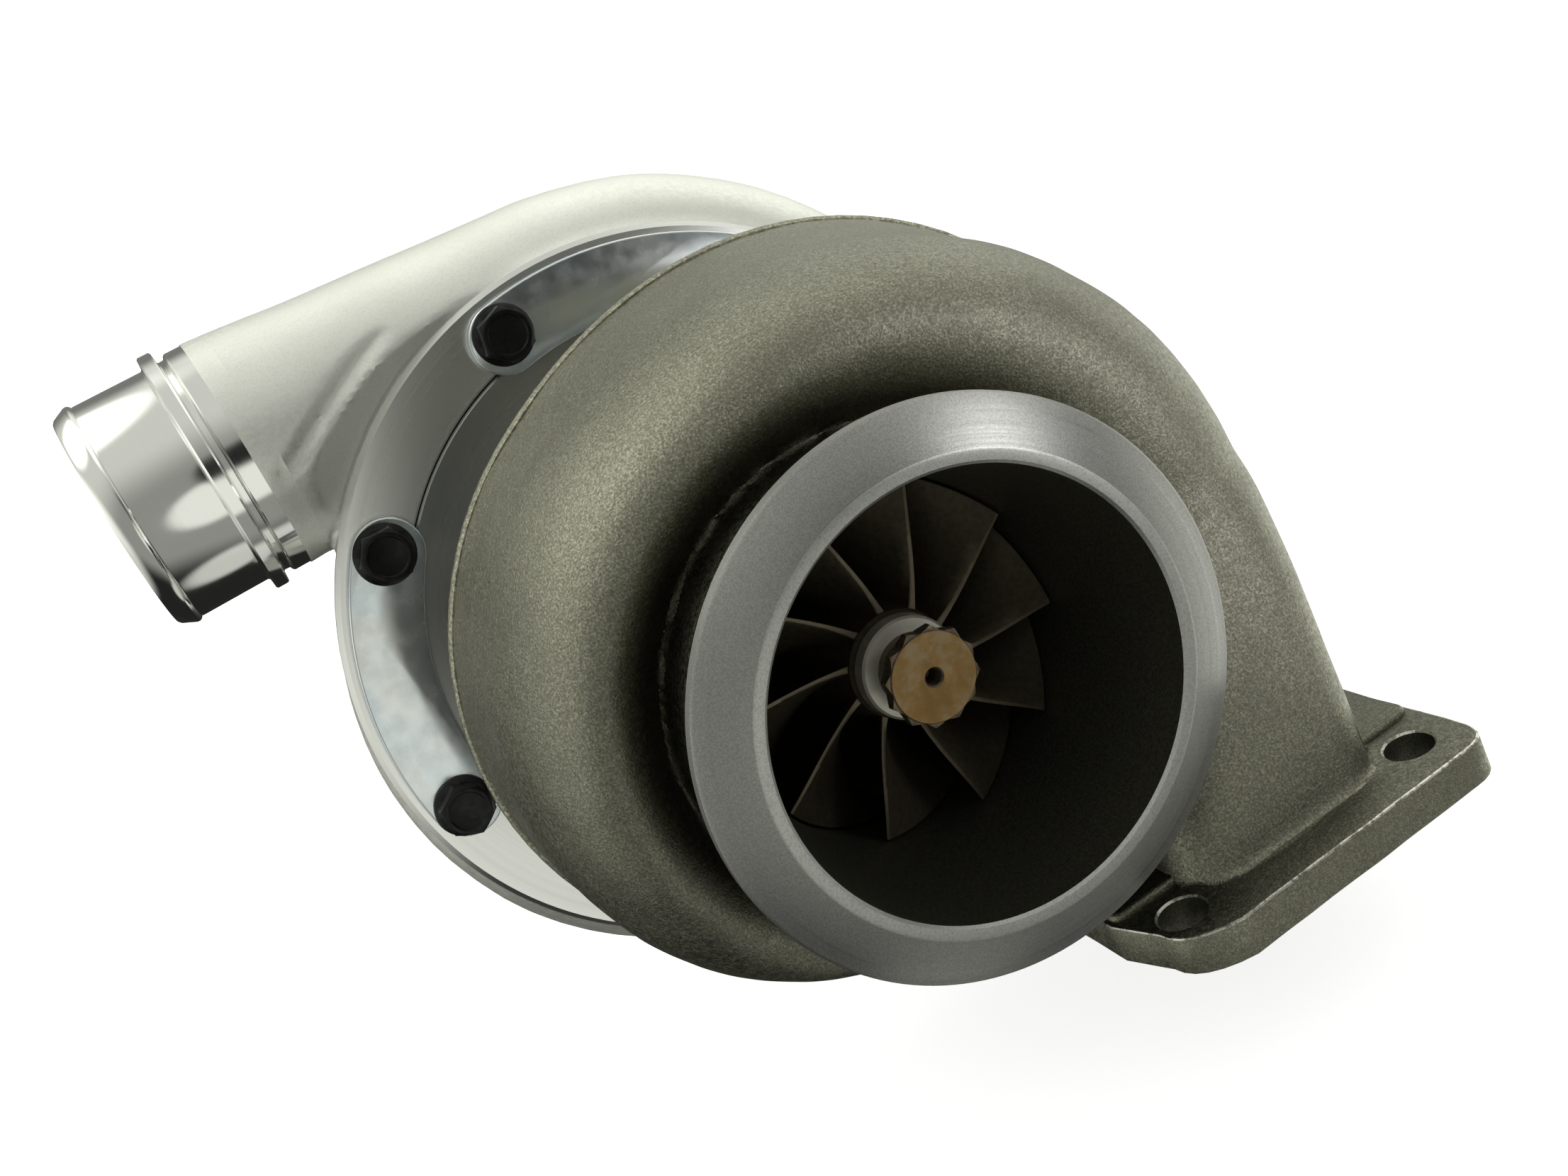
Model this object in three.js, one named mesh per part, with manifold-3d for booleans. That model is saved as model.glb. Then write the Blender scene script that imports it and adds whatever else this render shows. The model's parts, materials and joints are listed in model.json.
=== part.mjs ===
// A turbocharger with a four-bolt turbine inlet, as the separate pieces it comes apart into.
// Millimetres, +Z up. The origin is the centre of the inlet flange's mating face, which looks
// down. The rotor turns about an axis parallel to Y: exhaust leaves at -Y, air enters at +Y.
// Pieces are drawn about the rotor axis, in a group of their own: there a "station" is a
// distance along the axis behind the outlet's V-band rim, and a "radius" is from the axis.
import * as THREE from "three";
import { mergeVertices } from "three/addons/utils/BufferGeometryUtils.js";
import Module from "manifold-3d";

const wasm = await Module();
wasm.setup();

// ---- Driving dimensions -------------------------------------------------------------------
const axisX = -54;               // rotor axis, from the inlet flange's centre
const axisHeight = 78.2;         // rotor axis above the flange's mating face
const rimY = -49.8;              // front edge of the V-band rim
const clearance = 0.3;           // gap left between pieces that touch
const fine = 30;                 // sides of a large round
const medium = 18;               // sides of a middling round
const coarse = 8;                // sides of a bolt or a small hole

const rimRadius = 56.5;          // turbine outlet, made for a V-band clamp
const lipStation = -4.07;
const lipOuterRadius = 46.3;
const lipBoreRadius = 43.5;
const outletPipeRadius = 50;

const flangeSpacingX = 64.5;     // inlet flange
const flangeSpacingY = 89.6;
const flangeHoleRadius = 5.5;
const flangeThickness = 9.3;
const flangeHalfX = 44;
const flangeHalfY = 58.3;

const scrollTongueAngle = 300;   // turbine scroll, which shrinks from 0 degrees to here
const scrollRadius = 79;
const scrollGrowth = 19;
const scrollBackRadius = 80;
const scrollBackGrowth = 27;
const scrollFrontAtInlet = 19;
const scrollFrontAtTongue = 38;
const turbineBackStation = 98;
const castWall = 5.5;

const wheelExducerRadius = 38;   // turbine wheel
const wheelInducerRadius = 41;
const wheelExducerStation = 35;
const wheelBackStation = 72;
const turbineBladeCount = 10;
const nutFaceStation = 17.5;

const coverFaceStation = 157.3;  // compressor cover
const coverFlangeRadius = 98.2;
const coverRegisterRadius = 80.1;
const coverScrollStart = 140;
const coverScrollEnd = 450;
const coverOutletHeight = 87;
const coverOutletStation = 181;
const coverInletEnd = 252;
const hoseRadius = 31;
const inletHoseRadius = 50.8;

const impellerRadius = 47;       // compressor wheel
const impellerInletRadius = 35;
const impellerBackStation = 164.6;
const impellerNoseStation = 203;
const impellerBladeCount = 6;

const clampFirstAngle = 77.4;    // clamp plates that hold the cover to the backplate
const clampHalfSpan = 23.65;
const clampBoltRadius = 87;
const clampInnerRadius = 76.3;
const clampOuterRadius = 95.3;
const clampThickness = 3;
const boltShankRadius = 4;       // M8

const housingClampRadius = 59;   // clamp plates that hold the bearing housing to the turbine
const housingFlangeRadius = 53.6;
const housingRearStation = 146;
const backplateBoltRadius = 43.5;
const backplateBoltAngle = 45;

// ---- Materials ----------------------------------------------------------------------------
const finish = (color, roughness, metalness) =>
  new THREE.MeshStandardMaterial({ color, roughness, metalness });
const castIron = () => finish(0x5f5d54, 0.6, 0.75);
const castAluminium = () => finish(0xdcdcd2, 0.45, 0.85);
const machinedAluminium = () => finish(0xc8c8c4, 0.2, 1);
const machinedSteel = () => finish(0x9a9a96, 0.3, 1);
const superalloy = () => finish(0x4a4036, 0.55, 0.8);
const zincPlate = () => finish(0xb4bcc2, 0.35, 0.95);
const blackOxide = () => finish(0x16161a, 0.4, 0.7);
const bronze = () => finish(0xb08a4a, 0.35, 1);
const rubber = () => finish(0x1a1a1a, 0.85, 0);

// ---- Solids -------------------------------------------------------------------------------
const radians = THREE.MathUtils.degToRad;
const lerp = THREE.MathUtils.lerp;
const ease = (value) => THREE.MathUtils.smoothstep(value, 0, 1);
const mergeDistance = 1e-4;

// A closed geometry as a solid that can be joined and cut, with its faces looking outward.
function solidOf(geometry) {
  const bare = geometry.clone();
  bare.deleteAttribute("normal");
  bare.deleteAttribute("uv");
  const merged = mergeVertices(bare, mergeDistance);
  const spots = merged.attributes.position;
  const corners = [0, 1, 2].map(() => new THREE.Vector3());
  const kept = [];
  let volume = 0;
  for (let start = 0; start < merged.index.count; start += 3) {
    const face = [0, 1, 2].map((step) => merged.index.getX(start + step));
    if (new Set(face).size < 3) continue;
    face.forEach((spot, step) => corners[step].fromBufferAttribute(spots, spot));
    volume += corners[0].dot(corners[1].clone().cross(corners[2]));
    kept.push(face);
  }
  const outward = volume < 0 ? kept.map((face) => face.toReversed()) : kept;
  return new wasm.Manifold(new wasm.Mesh({
    numProp: 3,
    vertProperties: new Float32Array(spots.array),
    triVerts: new Uint32Array(outward.flat()),
  }));
}

function geometryOf(solid) {
  const mesh = solid.getMesh();
  const geometry = new THREE.BufferGeometry();
  geometry.setAttribute("position", new THREE.BufferAttribute(mesh.vertProperties, mesh.numProp));
  geometry.setIndex(new THREE.BufferAttribute(mesh.triVerts, 1));
  geometry.computeVertexNormals();
  return geometry;
}

const join = (first, ...others) => others.reduce((whole, piece) => whole.add(piece), first);
const cut = (first, ...others) => others.reduce((whole, piece) => whole.subtract(piece), first);

// An outline of [radius, station] points, turned about the axis.
function turned(outline, sides = fine) {
  const points = outline.map(([radius, station]) => new THREE.Vector2(radius, station));
  if (points[0].x > 0) points.push(points[0].clone());
  return solidOf(new THREE.LatheGeometry(points, sides));
}

// A straight round bar, or a drill's path, from one point to another.
function bar(from, to, radius, sides = coarse) {
  const along = new THREE.Vector3().subVectors(to, from);
  const geometry = new THREE.CylinderGeometry(radius, radius, along.length(), sides);
  geometry.applyQuaternion(
    new THREE.Quaternion().setFromUnitVectors(new THREE.Vector3(0, 1, 0), along.normalize()));
  const middle = new THREE.Vector3().addVectors(from, to).multiplyScalar(0.5);
  return solidOf(geometry.translate(middle.x, middle.y, middle.z));
}

const axialBar = (x, z, from, to, radius, sides) =>
  bar(new THREE.Vector3(x, from, z), new THREE.Vector3(x, to, z), radius, sides);

// A flat plate square to the axis, between two stations; the shape is drawn in X and Z.
function plate(shape, from, to, curveSegments) {
  const depth = to - from;
  const flat = new THREE.ExtrudeGeometry(shape, { depth, bevelEnabled: false, curveSegments });
  return solidOf(flat.rotateX(Math.PI / 2).translate(0, to, 0));
}

// A flat plate square to Z, between two heights; the shape is drawn in X and Y.
function slab(shape, from, to) {
  const depth = to - from;
  const flat = new THREE.ExtrudeGeometry(shape, { depth, bevelEnabled: false, curveSegments: 3 });
  return solidOf(flat.translate(0, 0, from));
}

// A skin drawn through rings of equal count, closed at both ends.
function loft(rings) {
  const count = rings[0].length;
  const spots = rings.flat();
  const faces = [];
  for (let ring = 0; ring < rings.length - 1; ring += 1) {
    for (let step = 0; step < count; step += 1) {
      const next = (step + 1) % count;
      const [a, b] = [ring * count + step, ring * count + next];
      faces.push(a, b, b + count, a, b + count, a + count);
    }
  }
  const last = (rings.length - 1) * count;
  for (let step = 1; step < count - 1; step += 1) {
    faces.push(0, step + 1, step, last, last + step, last + step + 1);
  }
  const geometry = new THREE.BufferGeometry().setFromPoints(spots);
  geometry.setIndex(faces);
  return solidOf(geometry);
}

// A rectangle with rounded corners, drawn about a centre.
function roundedRectangle(centreX, centreY, halfX, halfY, corner) {
  const shape = new THREE.Shape();
  const turn = Math.PI / 2;
  [[1, 1], [-1, 1], [-1, -1], [1, -1]].forEach(([sideX, sideY], step) => {
    const x = centreX + sideX * (halfX - corner);
    const y = centreY + sideY * (halfY - corner);
    shape.absarc(x, y, corner, step * turn, (step + 1) * turn, false);
  });
  shape.closePath();
  return shape;
}

const polar = (radius, angle, station) => new THREE.Vector3(
  radius * Math.cos(radians(angle)), station, radius * Math.sin(radians(angle)));

// ---- Turbine housing ----------------------------------------------------------------------
// A section between an inner and an outer radius and a front and a back station. Its two
// front corners are quarter ellipses, and its outer wall leans out to the back's radius.
function sectionOutline(section) {
  const { inner, outer, backRadius, front, back, innerCorner, outerCorner, backCorner } = section;
  const points = [];
  const steps = 3;
  for (let step = 0; step <= steps; step += 1) {
    const turn = (Math.PI / 2) * (step / steps);
    points.push([
      inner + innerCorner[0] * (1 - Math.cos(turn)),
      front + innerCorner[1] * (1 - Math.sin(turn)),
    ]);
  }
  for (let step = 0; step <= steps + 1; step += 1) {
    const turn = (Math.PI / 2) * (step / (steps + 1));
    points.push([
      outer - outerCorner[0] * (1 - Math.sin(turn)),
      front + outerCorner[1] * (1 - Math.cos(turn)),
    ]);
  }
  points.push([backRadius, back - backCorner], [backRadius - backCorner, back]);
  points.push([inner + backCorner, back], [inner, back - backCorner]);
  return points;
}

// Between two sections: the walls change evenly, and the front and its corners sooner.
function blend(first, second, even) {
  const soon = even ** 0.75;
  const mix = (key, amount) => lerp(first[key], second[key], amount);
  const mixPair = (key) => first[key].map((size, place) => lerp(size, second[key][place], soon));
  return {
    inner: mix("inner", even),
    outer: mix("outer", even),
    backRadius: mix("backRadius", even),
    back: mix("back", even),
    front: mix("front", soon),
    innerCorner: mixPair("innerCorner"),
    outerCorner: mixPair("outerCorner"),
    backCorner: mix("backCorner", even),
  };
}

// How far the scroll has grown towards the inlet, from 0 to 1, and shrunk towards the tongue.
const scrollGrown = (angle) => ease((120 - angle) / 120);
const scrollShrunk = (angle) => ease((angle - 205) / (scrollTongueAngle - 205));
const scrollTongueLoss = 10;
const backRingRadius = 74;

function castScroll(angle) {
  const outer = scrollRadius + scrollGrowth * scrollGrown(angle)
    - scrollTongueLoss * scrollShrunk(angle);
  const width = outer - outletPipeRadius + 1;
  return {
    inner: outletPipeRadius - 2,
    outer,
    backRadius: scrollBackRadius + scrollBackGrowth * scrollGrown(angle)
      - (scrollBackRadius - backRingRadius) * scrollShrunk(angle),
    front: lerp(scrollFrontAtInlet, scrollFrontAtTongue, angle / scrollTongueAngle),
    back: turbineBackStation,
    innerCorner: [0.43 * width + 2, 16],
    outerCorner: [0.57 * width, 40],
    backCorner: 1.2,
  };
}

const castNeck = {
  inner: 27, outer: 81, backRadius: 81, front: 4, back: 95.6,
  innerCorner: [12, 12], outerCorner: [12, 12], backCorner: 8,
};

// The gas passage inside a stretch of the casting.
function passageIn(section) {
  const { inner, outer, front, innerCorner, outerCorner } = section;
  return {
    inner: inner + 1,
    outer: outer - castWall,
    backRadius: outer - castWall,
    front: front + castWall,
    back: 82,
    innerCorner: innerCorner.map((size) => size * 0.8),
    outerCorner: outerCorner.map((size) => size * 0.85),
    backCorner: 4,
  };
}

const passageNeck = {
  inner: 31, outer: 77, backRadius: 77, front: 12.8, back: 86.8,
  innerCorner: [9, 9], outerCorner: [9, 9], backCorner: 6,
};

const neckBottom = -axisHeight + flangeThickness;
const flangeCentreStation = -rimY;

// Rings round the axis from the tongue to 0 degrees, then straight down the inlet neck.
function scrollRings(sectionAt, neck, firstAngle, bottom) {
  const rings = [];
  const angleStep = 15;
  for (let angle = firstAngle; angle >= 0; angle -= angleStep) {
    rings.push(sectionOutline(sectionAt(angle)).map(([r, s]) => polar(r, angle, s)));
  }
  const neckSteps = 4;
  for (let step = 1; step <= neckSteps; step += 1) {
    const amount = step / neckSteps;
    const outline = sectionOutline(blend(sectionAt(0), neck, amount));
    rings.push(outline.map(([r, s]) => new THREE.Vector3(r, s, amount * neckBottom)));
  }
  rings.push(sectionOutline(neck).map(([r, s]) => new THREE.Vector3(r, s, bottom)));
  return rings;
}

// The gap that the wheel's blades leave to the shroud, followed by the shroud's inner face.
const shroudGap = 0.5;
const shroudCurve = new THREE.CubicBezierCurve(
  new THREE.Vector2(wheelExducerRadius, wheelExducerStation),
  new THREE.Vector2(wheelExducerRadius, 47),
  new THREE.Vector2(wheelExducerRadius + 0.6, 54),
  new THREE.Vector2(wheelInducerRadius, 58.5));

function turbineBore() {
  const shroud = shroudCurve.getPoints(4).map((point) => [point.x + shroudGap, point.y]);
  return turned([
    [0, lipStation - 6], [lipBoreRadius, lipStation - 6], [lipBoreRadius, 2],
    [wheelExducerRadius + shroudGap, 31], ...shroud,
    [42.5, 62], [42.5, 72.5], [46.5, 73], [46.5, 89],
    [54, 89], [54, turbineBackStation + 1], [0, turbineBackStation + 1],
  ]);
}

function turbineCasing() {
  return turned([
    [0, lipStation], [lipOuterRadius, lipStation], [rimRadius, 0], [rimRadius, 3.3],
    [outletPipeRadius, 8.5], [outletPipeRadius, 44], [60, 43], [69, 58],
    [backRingRadius, 92], [backRingRadius, turbineBackStation], [0, turbineBackStation],
  ]);
}

function inletFlangeShape() {
  const centreX = -axisX;
  const shape = new THREE.Shape();
  const [left, right] = [centreX - flangeHalfX, centreX + flangeHalfX];
  const [near, far] = [flangeCentreStation - flangeHalfY, flangeCentreStation + flangeHalfY];
  const corner = 8;
  const chamfer = 17;
  const setIn = 4;
  shape.moveTo(left + chamfer, near);
  shape.lineTo(right - corner, near);
  shape.quadraticCurveTo(right, near, right, near + corner);
  shape.lineTo(right, far - corner);
  shape.quadraticCurveTo(right, far, right - corner, far);
  shape.lineTo(left + chamfer, far);
  shape.quadraticCurveTo(left + setIn, far - 3, left + setIn, far - 12);
  shape.lineTo(left, far - 24);
  shape.lineTo(left, near + 24);
  shape.lineTo(left + setIn, near + 12);
  shape.quadraticCurveTo(left + setIn, near + 3, left + chamfer, near);
  return shape;
}

// A flat step stands on the flange between the near and the far bolt holes.
function inletFlange() {
  const step = roundedRectangle(-axisX, flangeCentreStation, flangeHalfX - 0.6, 35.3, 3);
  return join(
    slab(inletFlangeShape(), -axisHeight, neckBottom),
    slab(step, neckBottom - 1, neckBottom + 1.6));
}

// The bolt holes, each with room above it for a nut.
function flangeHoles() {
  const holes = [];
  const nutRoomRadius = 9;
  const nutRoomHeight = 12;
  for (const sideX of [-1, 1]) {
    for (const sideY of [-1, 1]) {
      const x = -axisX + (sideX * flangeSpacingX) / 2;
      const y = flangeCentreStation + (sideY * flangeSpacingY) / 2;
      const seat = new THREE.Vector3(x, y, neckBottom);
      const top = new THREE.Vector3(x, y, neckBottom + nutRoomHeight);
      holes.push(bar(new THREE.Vector3(x, y, -axisHeight - 1), top, flangeHoleRadius, 14));
      holes.push(bar(seat, top, nutRoomRadius, 14));
    }
  }
  return holes;
}

const housingBoltAngles = [0, 1, 2, 3, 4, 5].map((place) => 30 + 60 * place);
const housingBoltDepth = 11;

function turbineHousing() {
  const boltHoles = housingBoltAngles.map((angle) => {
    const spot = polar(housingClampRadius, angle, 0);
    const bottom = turbineBackStation - housingBoltDepth;
    return axialBar(spot.x, spot.z, bottom, turbineBackStation + 1, boltShankRadius + clearance);
  });
  const nozzle = turned([[40, 58.5], [55, 58.5], [55, 70], [40, 70]]);
  const passage = loft(scrollRings(
    (angle) => passageIn(castScroll(angle)), passageNeck, scrollTongueAngle - 15,
    -axisHeight - 2));
  const casting = join(
    turbineCasing(),
    loft(scrollRings(castScroll, castNeck, scrollTongueAngle, neckBottom - 3)),
    inletFlange());
  return cut(casting, passage, turbineBore(), nozzle, ...flangeHoles(), ...boltHoles);
}

// ---- Wheels -------------------------------------------------------------------------------
// One blade between a hub curve and a tip curve. Both run from the blade's axial edge, where
// gas moves along the axis, to its radial edge at the rim of the wheel.
function blade(hubCurve, tipCurve, angleAt, rootWidth, tipWidth) {
  const rings = [];
  const lengthSteps = 4;
  const heightSteps = 1;
  for (let along = 0; along <= lengthSteps; along += 1) {
    const amount = along / lengthSteps;
    const [root, tip] = [hubCurve.getPoint(amount), tipCurve.getPoint(amount)];
    const sides = [-1, 1].map((side) => {
      const edge = [];
      for (let up = 0; up <= heightSteps; up += 1) {
        const height = up / heightSteps;
        const radius = lerp(root.x, tip.x, height);
        const half = lerp(rootWidth, tipWidth, height) / 2;
        const angle = angleAt(amount, height) + side * THREE.MathUtils.radToDeg(half / radius);
        edge.push(polar(radius, angle, lerp(root.y, tip.y, height)));
      }
      return edge;
    });
    rings.push([...sides[0], ...sides[1].reverse()]);
  }
  return loft(rings);
}

const wheelHubCurve = new THREE.CubicBezierCurve(
  new THREE.Vector2(11.5, 33), new THREE.Vector2(13, 54),
  new THREE.Vector2(22, 69), new THREE.Vector2(wheelInducerRadius - 1, 70.5));
const sunkInHub = 1.2;
const wheelRootCurve = new THREE.CubicBezierCurve(
  new THREE.Vector2(11.5 - sunkInHub, 33.5), new THREE.Vector2(13 - sunkInHub, 54),
  new THREE.Vector2(22, 70.5), new THREE.Vector2(wheelInducerRadius - 0.6, 71));
const exducerTurn = 46;
const exducerLean = 14;
const exducerFirstAngle = 24.2;

function turbineBlade(place) {
  const tipAngle = exducerFirstAngle + (360 / turbineBladeCount) * place;
  const angleAt = (amount, height) =>
    tipAngle - exducerLean * (1 - height) * (1 - amount)
      + exducerTurn * (1 - (1 - amount) ** 2);
  return blade(wheelRootCurve, shroudCurve, angleAt, 3, 1.6);
}

const shaftRadius = 8;
const wheelBossRadius = 12.4;
const compressorShaftRadius = 5.5;
const shoulderStation = 132;
const shaftEnd = 213;

// The wheel is friction-welded to its shaft, so both are one piece.
function turbineWheelAndShaft() {
  const hub = wheelHubCurve.getPoints(4).map((point) => [point.x, point.y]);
  const core = turned([
    [0, nutFaceStation + 3], [1.9, nutFaceStation + 2], [1.9, nutFaceStation],
    [9.4, nutFaceStation], [10, 18.4], [10, 25], [8, 26.2], [8, 28], [10.8, 28.6],
    ...hub, [wheelInducerRadius, 70.5], [wheelInducerRadius, wheelBackStation],
    [wheelBossRadius + 3, 72.5], [wheelBossRadius, 74],
    [wheelBossRadius, 77.4], [10.6, 77.4], [10.6, 79.6], [wheelBossRadius, 79.6],
    [wheelBossRadius, 82], [shaftRadius, 84], [shaftRadius, shoulderStation],
    [compressorShaftRadius, shoulderStation], [compressorShaftRadius, shaftEnd], [0, shaftEnd],
  ], medium);
  const grip = new THREE.CylinderGeometry(10.3, 10.3, 5.6, 12).translate(0, 21.5, 0);
  const blades = Array.from({ length: turbineBladeCount }, (_, place) => turbineBlade(place));
  return join(core, solidOf(grip), ...blades);
}

const impellerHubCurve = new THREE.CubicBezierCurve(
  new THREE.Vector2(11, impellerNoseStation), new THREE.Vector2(13, 184),
  new THREE.Vector2(22, 167.5), new THREE.Vector2(impellerRadius - 0.5, 166.3));
const impellerRootCurve = new THREE.CubicBezierCurve(
  new THREE.Vector2(10, impellerNoseStation - 1), new THREE.Vector2(12, 184),
  new THREE.Vector2(22, 166.4), new THREE.Vector2(impellerRadius - 0.2, 165.4));
const impellerTipCurve = new THREE.CubicBezierCurve(
  new THREE.Vector2(impellerInletRadius, impellerNoseStation - 1.5),
  new THREE.Vector2(impellerInletRadius, 186),
  new THREE.Vector2(38, 174), new THREE.Vector2(impellerRadius, 169.8));
const splitterRootCurve = new THREE.CubicBezierCurve(
  new THREE.Vector2(11.2, 191), new THREE.Vector2(13.5, 179),
  new THREE.Vector2(24, 166.4), new THREE.Vector2(impellerRadius - 0.2, 165.4));
const splitterTipCurve = new THREE.CubicBezierCurve(
  new THREE.Vector2(impellerInletRadius, 191), new THREE.Vector2(impellerInletRadius + 0.2, 181),
  new THREE.Vector2(39, 173), new THREE.Vector2(impellerRadius, 169.8));
const impellerTurn = 52;
const impellerLean = 6;

function impellerBlade(place) {
  const isSplitter = place % 2 === 1;
  const first = (180 / impellerBladeCount) * place;
  const angleAt = (amount, height) =>
    first + impellerLean * (1 - height) * (1 - amount)
      - impellerTurn * (isSplitter ? 0.25 + 0.75 * amount : amount);
  return isSplitter
    ? blade(splitterRootCurve, splitterTipCurve, angleAt, 1.8, 1)
    : blade(impellerRootCurve, impellerTipCurve, angleAt, 1.8, 1);
}

function compressorWheel() {
  const hub = impellerHubCurve.getPoints(4).map((point) => [point.x, point.y]).reverse();
  const bore = compressorShaftRadius + clearance;
  const core = turned([
    [bore, coverFaceStation + 1], [12, coverFaceStation + 1], [12, impellerBackStation],
    [impellerRadius, impellerBackStation + 0.6], [impellerRadius, 166],
    ...hub, [bore, impellerNoseStation],
  ], medium);
  const count = impellerBladeCount * 2;
  const blades = Array.from({ length: count }, (_, place) => impellerBlade(place));
  return join(core, ...blades);
}

function compressorNut() {
  const bore = compressorShaftRadius + clearance;
  const hexagon = new THREE.CylinderGeometry(9.2, 9.2, 6, 6).translate(0, 207.5, 0);
  const washer = turned([
    [0, impellerNoseStation + clearance], [9.6, impellerNoseStation + clearance],
    [9.6, 205.4], [0, 205.4],
  ], 24);
  const hole = axialBar(0, 0, 190, 220, bore, medium);
  return cut(join(solidOf(hexagon), washer), hole);
}

// ---- Bearing housing and what it holds ------------------------------------------------------
const bearingBore = 14.3;
const oilStation = 118;
const waterStation = 106;
const oilPadHeight = 46;
const drainPadHeight = 48;
const waterPadReach = 42;
const backplateBoltSeat = 138;
const pinStation = 92;
const pinRadius = 1.4;

const upright = (x, z, station) => new THREE.Vector3(x, station, z);

function centerHousing() {
  const barrel = turned([
    [0, 76.5], [20, 76.5], [22, 88], [45.5, 90.8], [housingFlangeRadius, 90.8],
    [housingFlangeRadius, turbineBackStation], [40, turbineBackStation], [35, 101],
    [35, 132], [51, 138], [51, housingRearStation], [0, housingRearStation],
  ], 28);
  const centre = upright(0, 0, oilStation);
  const ports = [
    bar(centre, upright(0, oilPadHeight, oilStation), 14, 12),
    bar(centre, upright(0, -drainPadHeight, oilStation), 15, 12),
    bar(upright(-waterPadReach, 0, waterStation), upright(waterPadReach, 0, waterStation), 10.5,
      12),
  ];
  const bore = turned([
    [0, 76], [wheelBossRadius + 0.4, 76], [wheelBossRadius + 0.4, 82.5], [18, 83],
    [18, 86.5], [bearingBore, 87], [bearingBore, 131], [16, 131.5], [16, 136.8],
    [31, 136.8], [31, housingRearStation + 1], [0, housingRearStation + 1],
  ], medium);
  const drillings = [
    bar(upright(0, 5, oilStation), upright(0, oilPadHeight + 1, oilStation), 3.5),
    bar(upright(0, -5, oilStation), upright(0, -drainPadHeight - 1, oilStation), 9, 14),
    bar(upright(0, -5, pinStation), upright(0, -21, pinStation), pinRadius + 0.4),
    bar(upright(24, 0, waterStation), upright(waterPadReach + 1, 0, waterStation), 6, coarse),
    bar(upright(-24, 0, waterStation), upright(-waterPadReach - 1, 0, waterStation), 6, coarse),
    turned([[22, 96], [29, 96], [29, 106], [22, 106]], medium),
    ...backplateBoltSpots().flatMap(({ x, z }) => [
      axialBar(x, z, 130, 150, boltShankRadius + clearance),
      axialBar(x, z, 128, backplateBoltSeat, 8, 12),
    ]),
  ];
  return cut(join(barrel, ...ports), bore, ...drillings);
}

const backplateBoltSpots = () =>
  [0, 1, 2, 3].map((place) => polar(backplateBoltRadius, backplateBoltAngle + 90 * place, 0));

// A pressed steel cup that shades the bearing housing from the turbine wheel.
function heatShield() {
  return turned([
    [15.5, 73.6], [45.6, 73.6], [45.6, 89.3], [53.4, 89.3], [53.4, 90.4],
    [44.6, 90.4], [44.6, 74.6], [15.5, 74.6],
  ], 28);
}

// A one-piece floating bearing, kept from turning by a pin, with a land at each end.
function journalBearing() {
  const sleeve = turned([
    [8.4, 88.5], [13.9, 88.5], [13.9, 99], [12.4, 99], [12.4, 120], [13.9, 120],
    [13.9, 130.5], [8.4, 130.5],
  ], medium);
  return cut(sleeve, bar(upright(0, -5, pinStation), upright(0, -20, pinStation), pinRadius + 0.4));
}

const bearingPin = () =>
  bar(upright(0, -10.5, pinStation), upright(0, -20.6, pinStation), pinRadius);

// A plate with a slot below, so that it can be slid into the groove of the thrust collar.
function thrustBearing() {
  const inner = 9.6;
  const shape = new THREE.Shape();
  const opening = Math.PI / 7;
  const bottom = -Math.PI / 2;
  shape.absarc(0, 0, 30, bottom + opening / 2, bottom + 2 * Math.PI - opening / 2, false);
  shape.absarc(0, 0, inner, bottom + 2 * Math.PI - opening, bottom + opening, true);
  shape.closePath();
  return plate(shape, 137.2, 139.8, 12);
}

function thrustCollar() {
  const bore = compressorShaftRadius + clearance;
  return turned([
    [bore, shoulderStation + clearance], [12.6, shoulderStation + clearance], [12.6, 136.8],
    [9, 136.8], [9, 140.2], [12.6, 140.2], [12.6, 150.6], [10.8, 150.6], [10.8, 152.8],
    [12.6, 152.8], [12.6, 158], [bore, 158],
  ], medium);
}

// A split ring, sprung into a groove, with a gap in it.
function splitRing(inner, outer, from, to) {
  const ring = turned([[inner, from], [outer, from], [outer, to], [inner, to]], medium);
  const slot = new THREE.BoxGeometry(0.8, 6, outer).translate(0, (from + to) / 2, outer);
  return cut(ring, solidOf(slot));
}

function sealRing(inner, outer, from, to) {
  const [radius, station] = [(inner + outer) / 2, (from + to) / 2];
  const corners = 4;
  const outline = Array.from({ length: corners }, (_, corner) => {
    const turn = (2 * Math.PI * corner) / corners;
    return [
      radius + ((outer - inner) / 2) * Math.cos(turn),
      station + ((to - from) / 2) * Math.sin(turn),
    ];
  });
  return turned(outline);
}

// ---- Compressor casing ------------------------------------------------------------------------
const backplateWheelFace = 164;

function compressorBackplate() {
  const disc = turned([
    [13.1, 149.5], [13.1, backplateWheelFace], [75.6, backplateWheelFace], [75.6, 163.4],
    [79.7, 163.4], [79.7, 162.2], [77.4, 162.2], [77.4, 159.6], [79.7, 159.6],
    [79.7, coverFaceStation], [58, coverFaceStation], [52, housingRearStation + clearance],
    [30, housingRearStation + clearance], [30, 145], [28, 145], [28, 142.4],
    [30, 142.4], [30, 141.2], [24, 141.2], [24, 149.5],
  ]);
  const holes = backplateBoltSpots().map(({ x, z }) =>
    axialBar(x, z, 144, 157.5, boltShankRadius + clearance));
  return cut(disc, ...holes);
}

// The cover's scroll: its outer reach grows fast at first and then settles.
const coverGrown = (angle) => (angle - coverScrollStart) / (coverScrollEnd - coverScrollStart);
const coverTubeRadius = (angle) => lerp(11, 27, coverGrown(angle));
const coverReach = (angle) => 113 - 19 * (1 - coverGrown(angle)) ** 2.5;
const coverFrontGap = 0.7;
const coverTubeWall = 4.5;
const coverCastEnd = 86;
const coverDuctEndRadius = hoseRadius + 1.1;

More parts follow.
